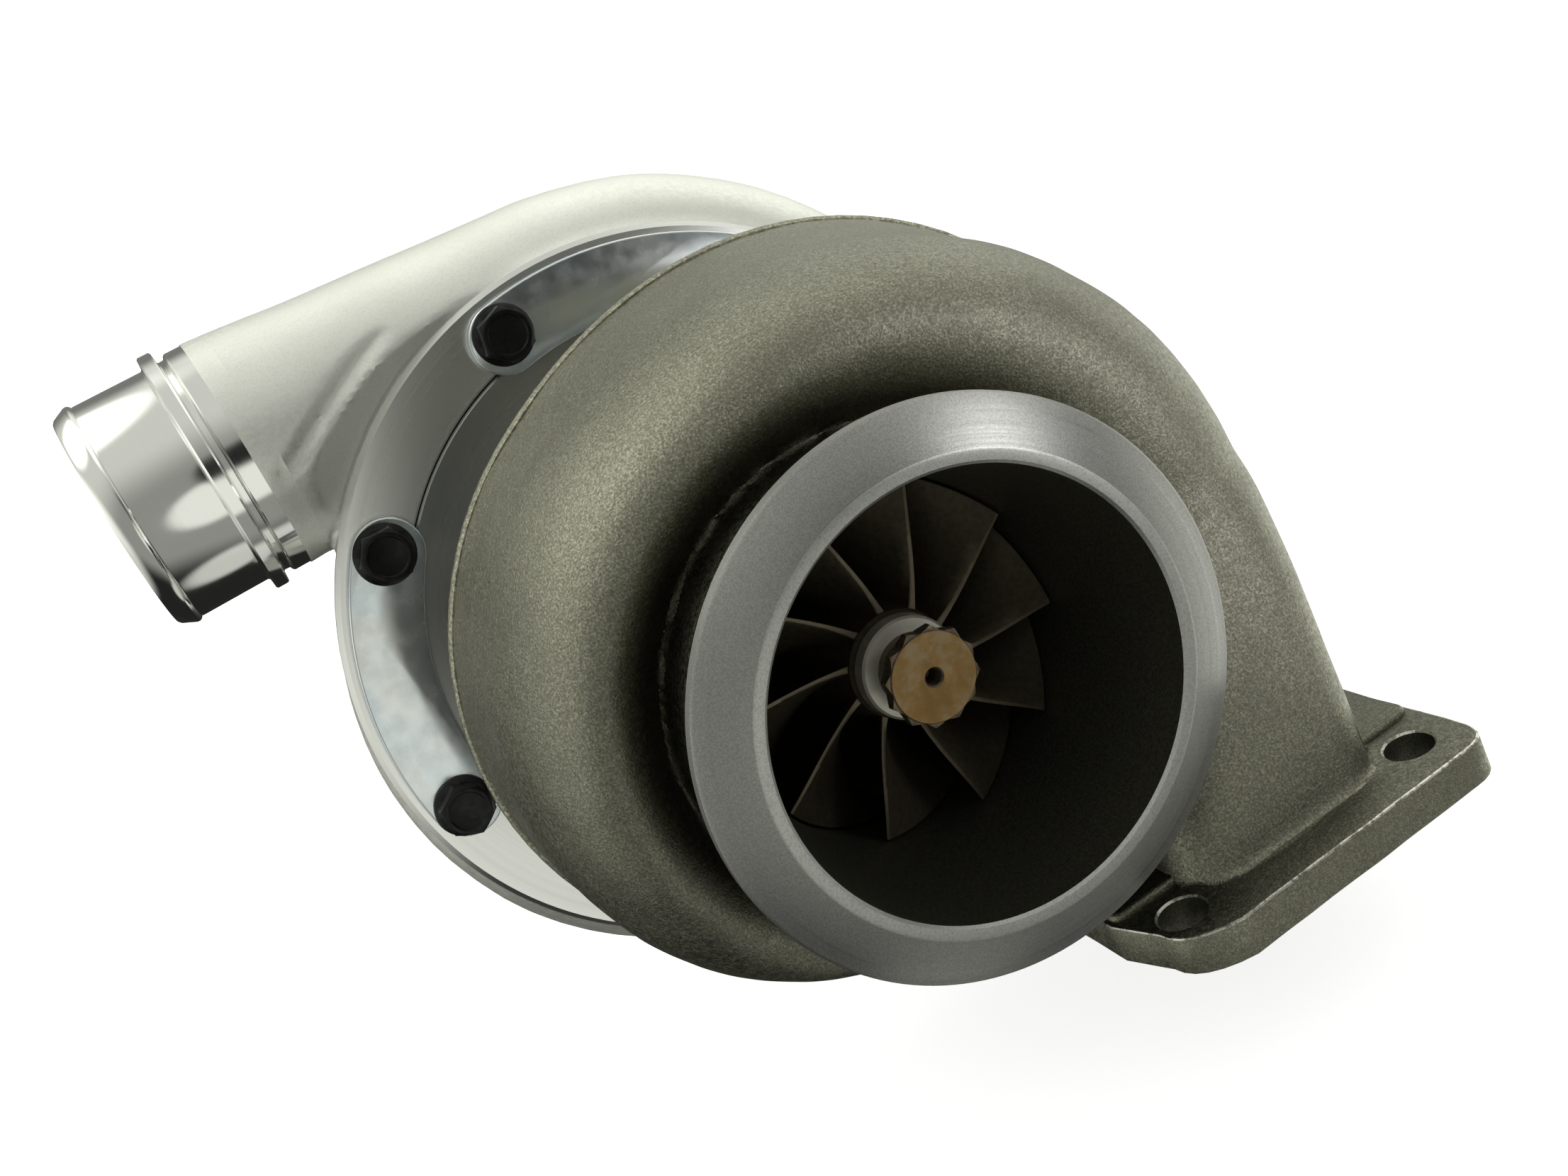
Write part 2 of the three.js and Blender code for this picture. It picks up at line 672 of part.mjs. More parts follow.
// Rings round the scroll, then along the outlet duct, set in from the outside by a wall.
function coverTubeRings(wall) {
  const rings = [];
  const tubeSides = 12;
  const circle = (placeAt) => Array.from({ length: tubeSides }, (_, side) =>
    placeAt((2 * Math.PI * side) / tubeSides));
  for (let angle = coverScrollStart; angle < coverScrollEnd; angle += 20) {
    const tube = coverTubeRadius(angle);
    const middle = coverReach(angle) - tube;
    const station = coverFaceStation + coverFrontGap + tube;
    const radius = tube - wall;
    rings.push(circle((turn) =>
      polar(middle + radius * Math.cos(turn), angle, station + radius * Math.sin(turn))));
  }
  const ductSteps = 3;
  const topTube = coverTubeRadius(coverScrollEnd);
  const topStation = coverFaceStation + coverFrontGap + topTube;
  const topHeight = coverReach(coverScrollEnd) - topTube;
  for (let step = 0; step <= ductSteps; step += 1) {
    const amount = step / ductSteps;
    const x = -coverCastEnd * amount;
    const radius = lerp(topTube, coverDuctEndRadius, amount) - wall;
    const station = lerp(topStation, coverOutletStation, ease(amount));
    const height = lerp(topHeight, coverOutletHeight, amount);
    rings.push(circle((turn) => new THREE.Vector3(
      x, station + radius * Math.sin(turn), height + radius * Math.cos(turn))));
  }
  return rings;
}

// The machined hose end of the compressor outlet, turned about its own axis, which is -X.
const outletEnd = 122;
function outletSpigot() {
  const points = [
    [0, 80], [hoseRadius + 0.8, 80], [hoseRadius + 0.8, 91],
    [hoseRadius - 0.4, 91.4], [hoseRadius - 0.4, 93.2], [33.7, 93.4], [33.7, 96.8],
    [hoseRadius - 0.6, 97], [hoseRadius - 0.6, 116.6], [hoseRadius + 0.2, 118],
    [hoseRadius - 1.8, outletEnd], [0, outletEnd],
  ].map(([radius, reach]) => new THREE.Vector2(radius, reach));
  const geometry = new THREE.LatheGeometry(points, 24).rotateZ(Math.PI / 2);
  return solidOf(geometry.translate(0, coverOutletStation, coverOutletHeight));
}

function coverBore() {
  const shroud = impellerTipCurve.getPoints(4)
    .map((point) => [point.x + shroudGap, point.y + shroudGap]).reverse();
  return turned([
    [0, 140], [coverFlangeRadius - 0.5, 140], [coverFlangeRadius - 0.5, coverFaceStation],
    [coverRegisterRadius, coverFaceStation], [coverRegisterRadius, 163.8], [76, 163.8],
    [76, 170.6], ...shroud, [impellerInletRadius + shroudGap, 210], [46.5, 222],
    [46.5, coverInletEnd + 1], [0, coverInletEnd + 1],
  ]);
}

const clampAngles = [0, 1, 2, 3].map((place) => clampFirstAngle + 90 * place);
const coverBoltSpots = clampAngles.flatMap((angle) =>
  [-1, 1].map((side) => polar(clampBoltRadius, angle + side * clampHalfSpan, 0)));
const coverBoltDepth = 11.5;

// Each bolt goes into a boss, which stands in the scroll's passage.
function compressorCover() {
  const shell = turned([
    [0, coverFaceStation], [coverFlangeRadius, coverFaceStation], [coverFlangeRadius, 167],
    [82, 182], [60, 193], [inletHoseRadius, 208],
    [inletHoseRadius, 243], [52.3, 244.5], [52.3, 247], [inletHoseRadius, 248.5],
    [inletHoseRadius, coverInletEnd], [0, coverInletEnd],
  ]);
  const bossEnd = coverFaceStation + coverBoltDepth + 1.4;
  const bosses = coverBoltSpots.map(({ x, z }) => axialBar(x, z, coverFaceStation + 1, bossEnd, 6.4));
  const holes = coverBoltSpots.map(({ x, z }) =>
    axialBar(x, z, 150, coverFaceStation + coverBoltDepth, boltShankRadius + clearance));
  const outletBore = bar(
    upright(-80, coverOutletHeight, coverOutletStation),
    upright(-outletEnd - 1, coverOutletHeight, coverOutletStation), 27.6, medium);
  const casting = join(shell, loft(coverTubeRings(0)), outletSpigot());
  const hollow = cut(casting, coverBore(), loft(coverTubeRings(coverTubeWall)), outletBore);
  return cut(join(hollow, ...bosses), ...holes);
}

// ---- Clamps and bolts ---------------------------------------------------------------------
// An arc-shaped plate with round ends, and holes at the given angles.
function clampPlate(inner, outer, middle, halfSpan, from, to, holeRadius, holeAngles, steps) {
  const [centre, half] = [(inner + outer) / 2, (outer - inner) / 2];
  const [first, last] = [radians(middle - halfSpan), radians(middle + halfSpan)];
  const shape = new THREE.Shape();
  shape.absarc(0, 0, outer, first, last, false);
  shape.absarc(centre * Math.cos(last), centre * Math.sin(last), half, last, last + Math.PI, false);
  shape.absarc(0, 0, inner, last, first, true);
  shape.absarc(
    centre * Math.cos(first), centre * Math.sin(first), half, first + Math.PI, first + 2 * Math.PI,
    false);
  const holes = holeAngles.map((angle) => {
    const spot = polar(holeRadius, angle, 0);
    return axialBar(spot.x, spot.z, from - 1, to + 1, boltShankRadius + clearance);
  });
  return cut(plate(shape, from, to, steps), ...holes);
}

// A flanged hexagon bolt on its own axis: the head is below zero and the shank above.
function flangedBolt(shankLength, flangeRadius = 8.2, headHeight = 6.2) {
  const flangeHeight = 1.4;
  const hexHeight = headHeight - flangeHeight / 2;
  const hexagon = new THREE.CylinderGeometry(6.9, 7.2, hexHeight, 6);
  return join(
    axialBar(0, 0, -flangeHeight, 0, flangeRadius, 10),
    axialBar(0, 0, -flangeHeight / 2, shankLength, boltShankRadius),
    solidOf(hexagon.translate(0, -headHeight + hexHeight / 2, 0)));
}

// ---- The assembly ---------------------------------------------------------------------------
const turbocharger = new THREE.Group();
const aboutAxis = new THREE.Group();
aboutAxis.position.set(axisX, rimY, axisHeight);
turbocharger.add(aboutAxis);

function add(name, solid, material) {
  const mesh = new THREE.Mesh(geometryOf(solid), material);
  mesh.name = name;
  aboutAxis.add(mesh);
  return mesh;
}

add("turbine_housing", turbineHousing(), castIron());
add("turbine_wheel_shaft", turbineWheelAndShaft(), superalloy());
add("heat_shield", heatShield(), machinedSteel());
add("center_housing", centerHousing(), castIron());
add("journal_bearing", journalBearing(), bronze());
add("bearing_pin", bearingPin(), machinedSteel());
add("thrust_bearing", thrustBearing(), bronze());
add("thrust_collar", thrustCollar(), machinedSteel());
add("turbine_piston_ring", splitRing(11, wheelBossRadius + 0.1, 77.7, 79.3), machinedSteel());
add("compressor_piston_ring", splitRing(11.2, 12.8, 150.9, 152.5), machinedSteel());
add("compressor_backplate", compressorBackplate(), machinedAluminium());
add("backplate_seal_ring", sealRing(28.4, 30, 142.7, 144.7), rubber());
add("cover_seal_ring", sealRing(77.8, 79.6, 159.9, 161.9), rubber());
add("compressor_wheel", compressorWheel(), machinedAluminium());
add("compressor_nut", compressorNut(), machinedSteel());
add("compressor_cover", compressorCover(), castAluminium());

clampAngles.forEach((angle, place) => {
  const back = coverFaceStation - clearance;
  const angles = [angle - clampHalfSpan, angle + clampHalfSpan];
  const solid = clampPlate(
    clampInnerRadius, clampOuterRadius, angle, clampHalfSpan, back - clampThickness, back,
    clampBoltRadius, angles, 6);
  add(`cover_clamp_${place + 1}`, solid, zincPlate());
});

const coverBoltSeat = coverFaceStation - clampThickness - 2 * clearance;
coverBoltSpots.forEach(({ x, z }, place) => {
  const mesh = add(`cover_bolt_${place + 1}`, flangedBolt(14), blackOxide());
  mesh.position.set(x, coverBoltSeat, z);
});

const housingClampFront = turbineBackStation + clearance;
const housingClampThickness = 3.2;
[90, 270].forEach((angle, place) => {
  const solid = clampPlate(
    49.5, 66.5, angle, 66, housingClampFront, housingClampFront + housingClampThickness,
    housingClampRadius, [angle - 60, angle, angle + 60], 8);
  add(`turbine_clamp_${place + 1}`, solid, zincPlate());
});

const housingBoltSeat = housingClampFront + housingClampThickness + clearance;
housingBoltAngles.forEach((angle, place) => {
  const spot = polar(housingClampRadius, angle, housingBoltSeat);
  const mesh = add(`turbine_bolt_${place + 1}`, flangedBolt(13.5, 7.6), machinedSteel());
  mesh.position.copy(spot);
  mesh.rotation.x = Math.PI;
});

backplateBoltSpots().forEach(({ x, z }, place) => {
  const mesh = add(`backplate_bolt_${place + 1}`, flangedBolt(18, 7), blackOxide());
  mesh.position.set(x, backplateBoltSeat - clearance, z);
});

export default turbocharger;
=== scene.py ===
"""The looks of a turbocharger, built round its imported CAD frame.

Shapes are drawn in millimetres about the rotor axis, as (x, station, z): a station is a distance
along the axis behind the turbine outlet's rim, and a radius is a distance from the axis. place()
turns such a point into the frame's metres.
"""
import json
import math

import bmesh
import bpy
import numpy as np
from mathutils import Matrix, Vector

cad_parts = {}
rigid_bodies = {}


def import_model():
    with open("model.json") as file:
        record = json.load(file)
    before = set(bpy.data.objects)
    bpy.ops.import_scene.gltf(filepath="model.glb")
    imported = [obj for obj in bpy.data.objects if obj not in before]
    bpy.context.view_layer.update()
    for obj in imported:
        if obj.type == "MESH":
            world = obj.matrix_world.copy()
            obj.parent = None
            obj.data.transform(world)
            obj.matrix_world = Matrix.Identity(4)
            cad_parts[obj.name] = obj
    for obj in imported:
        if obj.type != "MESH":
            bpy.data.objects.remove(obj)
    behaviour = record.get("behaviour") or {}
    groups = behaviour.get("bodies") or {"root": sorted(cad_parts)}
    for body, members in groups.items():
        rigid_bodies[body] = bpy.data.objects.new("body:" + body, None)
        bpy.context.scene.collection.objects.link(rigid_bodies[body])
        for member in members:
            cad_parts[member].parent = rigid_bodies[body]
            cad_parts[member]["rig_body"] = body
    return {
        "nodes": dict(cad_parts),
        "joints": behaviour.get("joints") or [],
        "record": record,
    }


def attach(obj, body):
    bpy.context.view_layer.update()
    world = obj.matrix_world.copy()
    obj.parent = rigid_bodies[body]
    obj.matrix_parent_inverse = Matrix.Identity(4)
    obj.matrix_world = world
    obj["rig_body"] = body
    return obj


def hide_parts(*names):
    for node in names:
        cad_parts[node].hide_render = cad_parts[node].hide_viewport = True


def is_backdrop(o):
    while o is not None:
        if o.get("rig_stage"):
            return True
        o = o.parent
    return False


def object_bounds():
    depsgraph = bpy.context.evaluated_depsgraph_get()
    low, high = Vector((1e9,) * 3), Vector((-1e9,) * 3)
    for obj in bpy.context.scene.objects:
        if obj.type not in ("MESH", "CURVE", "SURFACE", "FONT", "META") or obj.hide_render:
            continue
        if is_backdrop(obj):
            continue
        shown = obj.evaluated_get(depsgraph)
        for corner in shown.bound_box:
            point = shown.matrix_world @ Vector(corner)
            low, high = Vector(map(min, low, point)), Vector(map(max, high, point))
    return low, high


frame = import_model()
cad_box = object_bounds()
nodes = frame["nodes"]
mounts = {m["name"]: Vector(m["pos_m"]) for m in frame["record"]["mounts"]}
spin = Vector(frame["joints"][0]["pos_m"])

MM = 0.001
LIP_STATION = -4.07
RIM_CENTRE = Vector((spin.x, mounts["turbine_outlet_face"].y - LIP_STATION * MM, spin.z))
AXIS_X = RIM_CENTRE.x / MM
AXIS_HEIGHT = RIM_CENTRE.z / MM
FLANGE_STATION = -RIM_CENTRE.y / MM
CLEARANCE = 0.3

# Turbine housing
RIM_RADIUS = 56.5
LIP_OUTER_RADIUS = 46.3
LIP_BORE_RADIUS = 43.5
OUTLET_PIPE_RADIUS = 50
BOLT_SPACING_X = 64.5
BOLT_SPACING_Y = 89.6
FLANGE_HOLE_RADIUS = 5.5
FLANGE_THICKNESS = 9.3
FLANGE_HALF_X = 43.6
FLANGE_HALF_Y = 57.9
TONGUE_ANGLE = 300
TURBINE_BACK = 98
CAST_WALL = 5.5
NECK_BOTTOM = -AXIS_HEIGHT + FLANGE_THICKNESS

# Turbine wheel
EXDUCER_RADIUS = 38
INDUCER_RADIUS = 41
EXDUCER_STATION = 35
WHEEL_BACK = 72
TURBINE_BLADES = 10
NUT_FACE = 17.5
SHROUD_GAP = 0.5

# Compressor
COVER_FACE = 157.3
COVER_FLANGE_RADIUS = 98.2
REGISTER_RADIUS = 80.1
SCROLL_START = 140
SCROLL_END = 450
OUTLET_HEIGHT = 87
OUTLET_STATION = 181
OUTLET_END = -mounts["compressor_outlet_face"].x / MM + AXIS_X
INLET_END = (mounts["compressor_inlet_face"].y - RIM_CENTRE.y) / MM
HOSE_RADIUS = 31
INLET_HOSE_RADIUS = 50.8
IMPELLER_RADIUS = 47
IMPELLER_INLET_RADIUS = 35
IMPELLER_NOSE = 203
IMPELLER_BLADES = 6

# Clamps and bolts
CLAMP_FIRST_ANGLE = 77.4
CLAMP_HALF_SPAN = 23.65
CLAMP_BOLT_RADIUS = 87
CLAMP_THICKNESS = 3
HOUSING_CLAMP_RADIUS = 59
HOUSING_CLAMP_THICKNESS = 3.2
SHANK_RADIUS = 4
SHAFT_RADIUS = 8
COMPRESSOR_SHAFT_RADIUS = 5.5

FINE = 160                       # sides of a large round
MEDIUM = 72                      # sides of a middling round
COARSE = 32                      # sides of a bolt or a small hole


# ---- Geometry -----------------------------------------------------------------------------
def lerp(first, second, amount):
    return first + (second - first) * amount


def ease(value):
    value = min(max(value, 0), 1)
    return value * value * (3 - 2 * value)


def place(point):
    return RIM_CENTRE + Vector(point) * MM


def spot(radius, angle):
    """The x and z of a point at an angle about the axis."""
    turn = math.radians(angle)
    return (radius * math.cos(turn), radius * math.sin(turn))


def polar(radius, angle, station):
    x, z = spot(radius, angle)
    return (x, station, z)


def hexagon(radius):
    return [spot(radius, 60 * corner) for corner in range(6)]


def curve(points, steps):
    """Points of a cubic Bezier curve."""
    a, b, c, d = [Vector(p) for p in points]
    found = []
    for step in range(steps + 1):
        t = step / steps
        u = 1 - t
        found.append(tuple(a * u**3 + b * 3 * u * u * t + c * 3 * u * t * t + d * t**3))
    return found


def add(name, data):
    obj = bpy.data.objects.new(name, data)
    bpy.context.scene.collection.objects.link(obj)
    return obj


def skin(name, rings, ends=(), joined=False):
    """A closed solid: rings of equal count in millimetres, and the faces at the ends.

    The last ring may be joined to the first. Faces are turned to look outward.
    """
    points = [place(p) for ring in rings for p in ring]
    count = len(rings[0])
    faces = []
    for ring in range(0, len(points) if joined else len(points) - count, count):
        after = (ring + count) % len(points)
        for a in range(count):
            b = (a + 1) % count
            faces.append((ring + a, ring + b, after + b, after + a))
    mesh = bpy.data.meshes.new(name)
    mesh.from_pydata(points, [], faces + list(ends))
    obj = add(name, mesh)
    shape = bmesh.new()
    shape.from_mesh(mesh)
    bmesh.ops.remove_doubles(shape, verts=shape.verts, dist=0.002 * MM)
    bmesh.ops.recalc_face_normals(shape, faces=shape.faces)
    shape.to_mesh(mesh)
    shape.free()
    return obj


def loft(name, rings):
    """A skin drawn through rings, with a flat face at each end."""
    count = len(rings[0])
    last = (len(rings) - 1) * count
    return skin(name, rings, [tuple(range(count)), tuple(range(last + count - 1, last - 1, -1))])


def turned(name, outline, sides=FINE, about="Y", centre=(0, 0)):
    """An outline of (radius, distance along the axis) points, turned about the axis.

    About X, the distance is measured towards -X and the centre is (station, z). About Z, the
    centre is (x, station).
    """
    turns = [2 * math.pi * side / sides for side in range(sides)]
    rings = []
    for radius, along in outline:
        around = [(centre[0] + radius * math.cos(turn), centre[1] + radius * math.sin(turn))
                  for turn in turns]
        if about == "Y":
            rings.append([(u, along, v) for u, v in around])
        elif about == "X":
            rings.append([(-along, u, v) for u, v in around])
        else:
            rings.append([(u, v, along) for u, v in around])
    return skin(name, rings, joined=outline[0][0] > 0)


def bar(about, centre, low, high, radius, sides=COARSE):
    """A straight round bar, or a drill's path, along X, Y or Z."""
    outline = [(0, low), (radius, low), (radius, high), (0, high)]
    return turned("bar", outline, sides, about, centre)


def prism(name, outline, low, high, along="Y"):
    """A flat plate between two stations, drawn in X and Z, or along Z, drawn in X and Y."""
    return loft(name, [[(u, level, v) if along == "Y" else (u, v, level) for u, v in outline]
                       for level in (low, high)])


def arc(centre, radius, first, last, steps):
    found = []
    for step in range(steps + 1):
        turn = math.radians(lerp(first, last, step / steps))
        found.append((centre[0] + radius * math.cos(turn), centre[1] + radius * math.sin(turn)))
    return found


def settle(obj):
    """Applies a piece's modifiers to its mesh."""
    depsgraph = bpy.context.evaluated_depsgraph_get()
    mesh = bpy.data.meshes.new_from_object(obj.evaluated_get(depsgraph))
    obj.modifiers.clear()
    old = obj.data
    obj.data = mesh
    bpy.data.meshes.remove(old)
    mesh.name = obj.name
    return obj


def combine(whole, operation, *others):
    for other in others:
        modifier = whole.modifiers.new("combine", "BOOLEAN")
        modifier.operation = operation
        modifier.solver = "MANIFOLD"
        modifier.object = other
    settle(whole)
    for other in others:
        bpy.data.objects.remove(other)
    return whole


def join(whole, *others):
    return combine(whole, "UNION", *others)


def cut(whole, *others):
    return combine(whole, "DIFFERENCE", *others)


def gather(whole, *others):
    """Puts solids into one mesh: overlapping ones to be remeshed, or drills that lie apart."""
    shape = bmesh.new()
    for obj in (whole, *others):
        shape.from_mesh(obj.data)
    shape.to_mesh(whole.data)
    shape.free()
    for obj in others:
        bpy.data.objects.remove(obj)
    return whole


def local_points(obj):
    """An object's points in millimetres about the rotor axis, one to a row."""
    found = np.zeros(len(obj.data.vertices) * 3)
    obj.data.vertices.foreach_get("co", found)
    return (found.reshape(-1, 3) - np.array(RIM_CENTRE)) / MM


def move_points(obj, shifts):
    """Moves an object's points by shifts in millimetres, one to a row."""
    moved = (local_points(obj) + shifts) * MM + np.array(RIM_CENTRE)
    obj.data.vertices.foreach_set("co", moved.ravel())
    obj.data.update()


def remesh(obj, voxel, rounds, soft_at=None):
    """One even skin over the solids in obj, smoothed so that its inner corners fill in.

    soft_at() says which points are smoothed in full; the rest are smoothed a little.
    """
    grid = obj.modifiers.new("grid", "REMESH")
    grid.mode = "VOXEL"
    grid.voxel_size = voxel * MM
    settle(obj)
    group_name = ""
    if soft_at is not None:
        group = obj.vertex_groups.new(name="softness")
        soft = soft_at(*local_points(obj).T)
        group.add(np.flatnonzero(soft).tolist(), 1, "REPLACE")
        group.add(np.flatnonzero(~soft).tolist(), 0.25, "REPLACE")
        group_name = group.name
    smooth(obj, rounds, group_name)
    obj.vertex_groups.clear()


def smooth(obj, rounds, group_name=""):
    soften = obj.modifiers.new("soften", "SMOOTH")
    soften.factor = 0.5
    soften.iterations = rounds
    soften.vertex_group = group_name
    settle(obj)


def thin_out(obj, keep):
    fewer = obj.modifiers.new("fewer", "DECIMATE")
    fewer.ratio = keep
    settle(obj)


def waves(points, size, seed):
    """A smooth unevenness of about -1 to 1, with waves of about the given size."""
    dice = np.random.default_rng(seed)
    count = 24
    ways = dice.normal(size=(count, 3))
    ways /= np.linalg.norm(ways, axis=1, keepdims=True) * size * dice.uniform(0.6, 1.8, (count, 1))
    phases = dice.uniform(0, 2 * math.pi, count)
    return np.sin(points @ ways.T * 2 * math.pi + phases).sum(axis=1) / math.sqrt(count)


def roughen(obj, size, depth, seed=1):
    """Moves points along their normals by an unevenness of the given size and depth."""
    normals = np.zeros(len(obj.data.vertices) * 3)
    obj.data.vertex_normals.foreach_get("vector", normals)
    amount = waves(local_points(obj), size, seed) * depth
    move_points(obj, normals.reshape(-1, 3) * amount[:, None])


def wander(outline, step, depth, seed):
    """A closed outline in short steps, each point moved a little, as a cast edge is uneven."""
    points = []
    for number, (u, v) in enumerate(outline):
        next_u, next_v = outline[(number + 1) % len(outline)]
        count = max(1, round(math.hypot(next_u - u, next_v - v) / step))
        points += [(lerp(u, next_u, n / count), lerp(v, next_v, n / count)) for n in range(count)]
    flat = np.array([(u, v, 0) for u, v in points])
    moves = [waves(flat, 5 * step, seed + axis) * depth for axis in (0, 1)]
    return [(u + du, v + dv) for (u, v), du, dv in zip(points, *moves)]


def bevel(obj, width, segments=2, angle=35):
    edge = obj.modifiers.new("bevel", "BEVEL")
    edge.width = width * MM
    edge.segments = segments
    edge.limit_method = "ANGLE"
    edge.angle_limit = math.radians(angle)
    edge.use_clamp_overlap = True
    return settle(obj)


def dress(obj, node, kinds, choose=None, sharp=32):
    """Gives a piece its finishes and shading, and lets it stand for its CAD node.

    choose() says which finish each face takes, from its radius, centre and normal.
    """
    mesh = obj.data
    mesh.materials.clear()
    for kind in kinds:
        mesh.materials.append(finishes[kind])
    mesh.polygons.foreach_set("use_smooth", [True] * len(mesh.polygons))
    mesh.set_sharp_from_angle(angle=math.radians(sharp))
    chosen = np.zeros(len(mesh.polygons), np.int32)
    if choose is not None:
        centres, normals = np.zeros(len(chosen) * 3), np.zeros(len(chosen) * 3)
        mesh.polygons.foreach_get("center", centres)
        mesh.polygons.foreach_get("normal", normals)
        x, station, z = (centres.reshape(-1, 3) - np.array(RIM_CENTRE)).T / MM
        chosen[:] = choose(np.hypot(x, z), x, station, z, normals.reshape(-1, 3).T)
    mesh.polygons.foreach_set("material_index", chosen)
    mesh.update()
    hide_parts(node)
    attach(obj, nodes[node]["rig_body"])


# ---- Finishes -----------------------------------------------------------------------------
class Nodes:
    """Short ways to add nodes to a tree and to link them."""

    def __init__(self, tree):
        self.tree = tree

    def node(self, kind, **settings):
        made = self.tree.nodes.new(kind)
        for key, value in settings.items():
            setattr(made, key, value)
        return made

    def link(self, output, socket):
        self.tree.links.new(output, socket)

    def math(self, operation, *values):
        made = self.node("ShaderNodeMath", operation=operation)
        for socket, value in zip(made.inputs, values):
            if isinstance(value, (int, float)):
                socket.default_value = value
            else:
                self.link(value, socket)
        return made.outputs[0]

    def span(self, value, low, high, start=0, end=1):
        """Maps low..high of a value smoothly to start..end."""
        made = self.node("ShaderNodeMapRange", interpolation_type="SMOOTHSTEP")
        self.link(value, made.inputs["Value"])
        for key, number in (("From Min", low), ("From Max", high), ("To Min", start), ("To Max", end)):
            made.inputs[key].default_value = number
        return made.outputs["Result"]


finishes = {}


class Finish(Nodes):
    """A procedural material, whose patterns are sized in millimetres."""

    def __init__(self, name, metallic, roughness):
        material = bpy.data.materials.new(name)
        finishes[name] = material
        material.use_nodes = True
        super().__init__(material.node_tree)
        self.sockets = self.tree.nodes["Principled BSDF"].inputs
        self.sockets["Metallic"].default_value = metallic
        self.sockets["Roughness"].default_value = roughness
        self.where = self.node("ShaderNodeTexCoord").outputs["Object"]
        self.normal = None

    def noise(self, size, detail=2, roughness=0.5, where=None):
        made = self.node("ShaderNodeTexNoise")
        made.inputs["Scale"].default_value = 1 / (size * MM)
        made.inputs["Detail"].default_value = detail
        made.inputs["Roughness"].default_value = roughness
        self.link(where or self.where, made.inputs["Vector"])
        return made.outputs["Fac"]

    def vary(self, factor, *colors):
        """A base colour that goes from one colour to the next with a factor."""
        made = self.node("ShaderNodeValToRGB")
        stops = made.color_ramp.elements
        for number, color in enumerate(colors):
            at = number / (len(colors) - 1)
            stop = stops[number] if number < 2 else stops.new(at)
            stop.position = at
            stop.color = (*color, 1)
        self.link(factor, made.inputs["Fac"])
        self.color = made.outputs["Color"]
        self.link(self.color, self.sockets["Base Color"])

    def overlay(self, factor, color):
        """Lays another colour over the base where the factor is high."""
        made = self.node("ShaderNodeMix", data_type="RGBA")
        self.link(factor, made.inputs["Factor"])
        self.link(self.color, made.inputs["A"])
        made.inputs["B"].default_value = (*color, 1)
        self.color = made.outputs["Result"]
        self.link(self.color, self.sockets["Base Color"])

    def rough(self, pattern, low, high):
        self.link(self.span(pattern, 0.3, 0.7, low, high), self.sockets["Roughness"])

    def bump(self, height, depth):
        """Raises the surface by a height times a depth in millimetres."""
        made = self.node("ShaderNodeBump")
        made.inputs["Strength"].default_value = 1
        made.inputs["Distance"].default_value = depth * MM
        self.link(height, made.inputs["Height"])
        if self.normal is not None:
            self.link(self.normal, made.inputs["Normal"])
        self.normal = made.outputs["Normal"]
        self.link(self.normal, self.sockets["Normal"])
        return self

    def round_the_axis(self, about="Y", centre=RIM_CENTRE):
        """Radius and distance along an axis through centre, in metres, and the way round it."""
        offset = self.node("ShaderNodeVectorMath", operation="SUBTRACT")
        self.link(self.where, offset.inputs[0])
        offset.inputs[1].default_value = centre
        split = self.node("ShaderNodeSeparateXYZ")
        self.link(offset.outputs[0], split.inputs[0])
        x, y, z = split.outputs
        along, across = (y, (x, z)) if about == "Y" else (x, (y, z))
        squares = [self.math("MULTIPLY", side, side) for side in across]
        self.radius = self.math("SQRT", self.math("ADD", *squares))
        self.along = along
        way = self.node("ShaderNodeVectorMath", operation="CROSS_PRODUCT")
        way.inputs[0].default_value = (0, 1, 0) if about == "Y" else (1, 0, 0)
        self.link(offset.outputs[0], way.inputs[1])
        self.way_round = way.outputs[0]
        return self

    def rings(self, size):
        """A noise that changes only with the radius and the distance along the axis."""
        made = self.node("ShaderNodeCombineXYZ")
        self.link(self.radius, made.inputs[0])
        self.link(self.along, made.inputs[1])
        return self.noise(size, 3, 0.6, where=made.outputs[0])

    def brushed(self, anisotropy):
        self.sockets["Anisotropic"].default_value = anisotropy
        self.sockets["Anisotropic Rotation"].default_value = 0.25
        self.link(self.way_round, self.sockets["Tangent"])


def cast_iron(name="cast_iron", tone=1.0, roughness=0.4, grit_size=0.5, grit_depth=0.16):
    """Sand-cast high-temperature iron: a fine, gritty, sparkling olive grey, with painted shade in the
    valley round the outlet pipe.
    """
    shades = [(0.15, 0.147, 0.115), (0.235, 0.23, 0.182), (0.4, 0.39, 0.31)]
    f = Finish(name, 1, roughness)
    grit = f.noise(grit_size, 3, 0.65)
    f.vary(f.span(grit, 0.28, 0.75), *[tuple(tone * part for part in shade) for shade in shades])
    f.overlay(f.span(f.noise(26, 3), 0.45, 0.75, 0, 0.3), tuple(tone * part for part in shades[0]))
    f.round_the_axis()
    # painted shade: within 53 to 66 mm of the axis, and from 10 to 30 mm behind the rim on, the iron is
    # darkened nearly to black, in the valley between the scroll and the outlet pipe
    painted_valley_shade = f.math("MULTIPLY", f.span(f.radius, 0.053, 0.066, 1, 0), f.span(f.along, 0.01, 0.03))
    f.overlay(f.math("MULTIPLY", painted_valley_shade, 0.8), (0.045, 0.04, 0.03))
    f.rough(f.noise(1.1), roughness - 0.07, roughness + 0.12)
    f.bump(f.noise(4), 0.12)
    f.bump(grit, grit_depth)


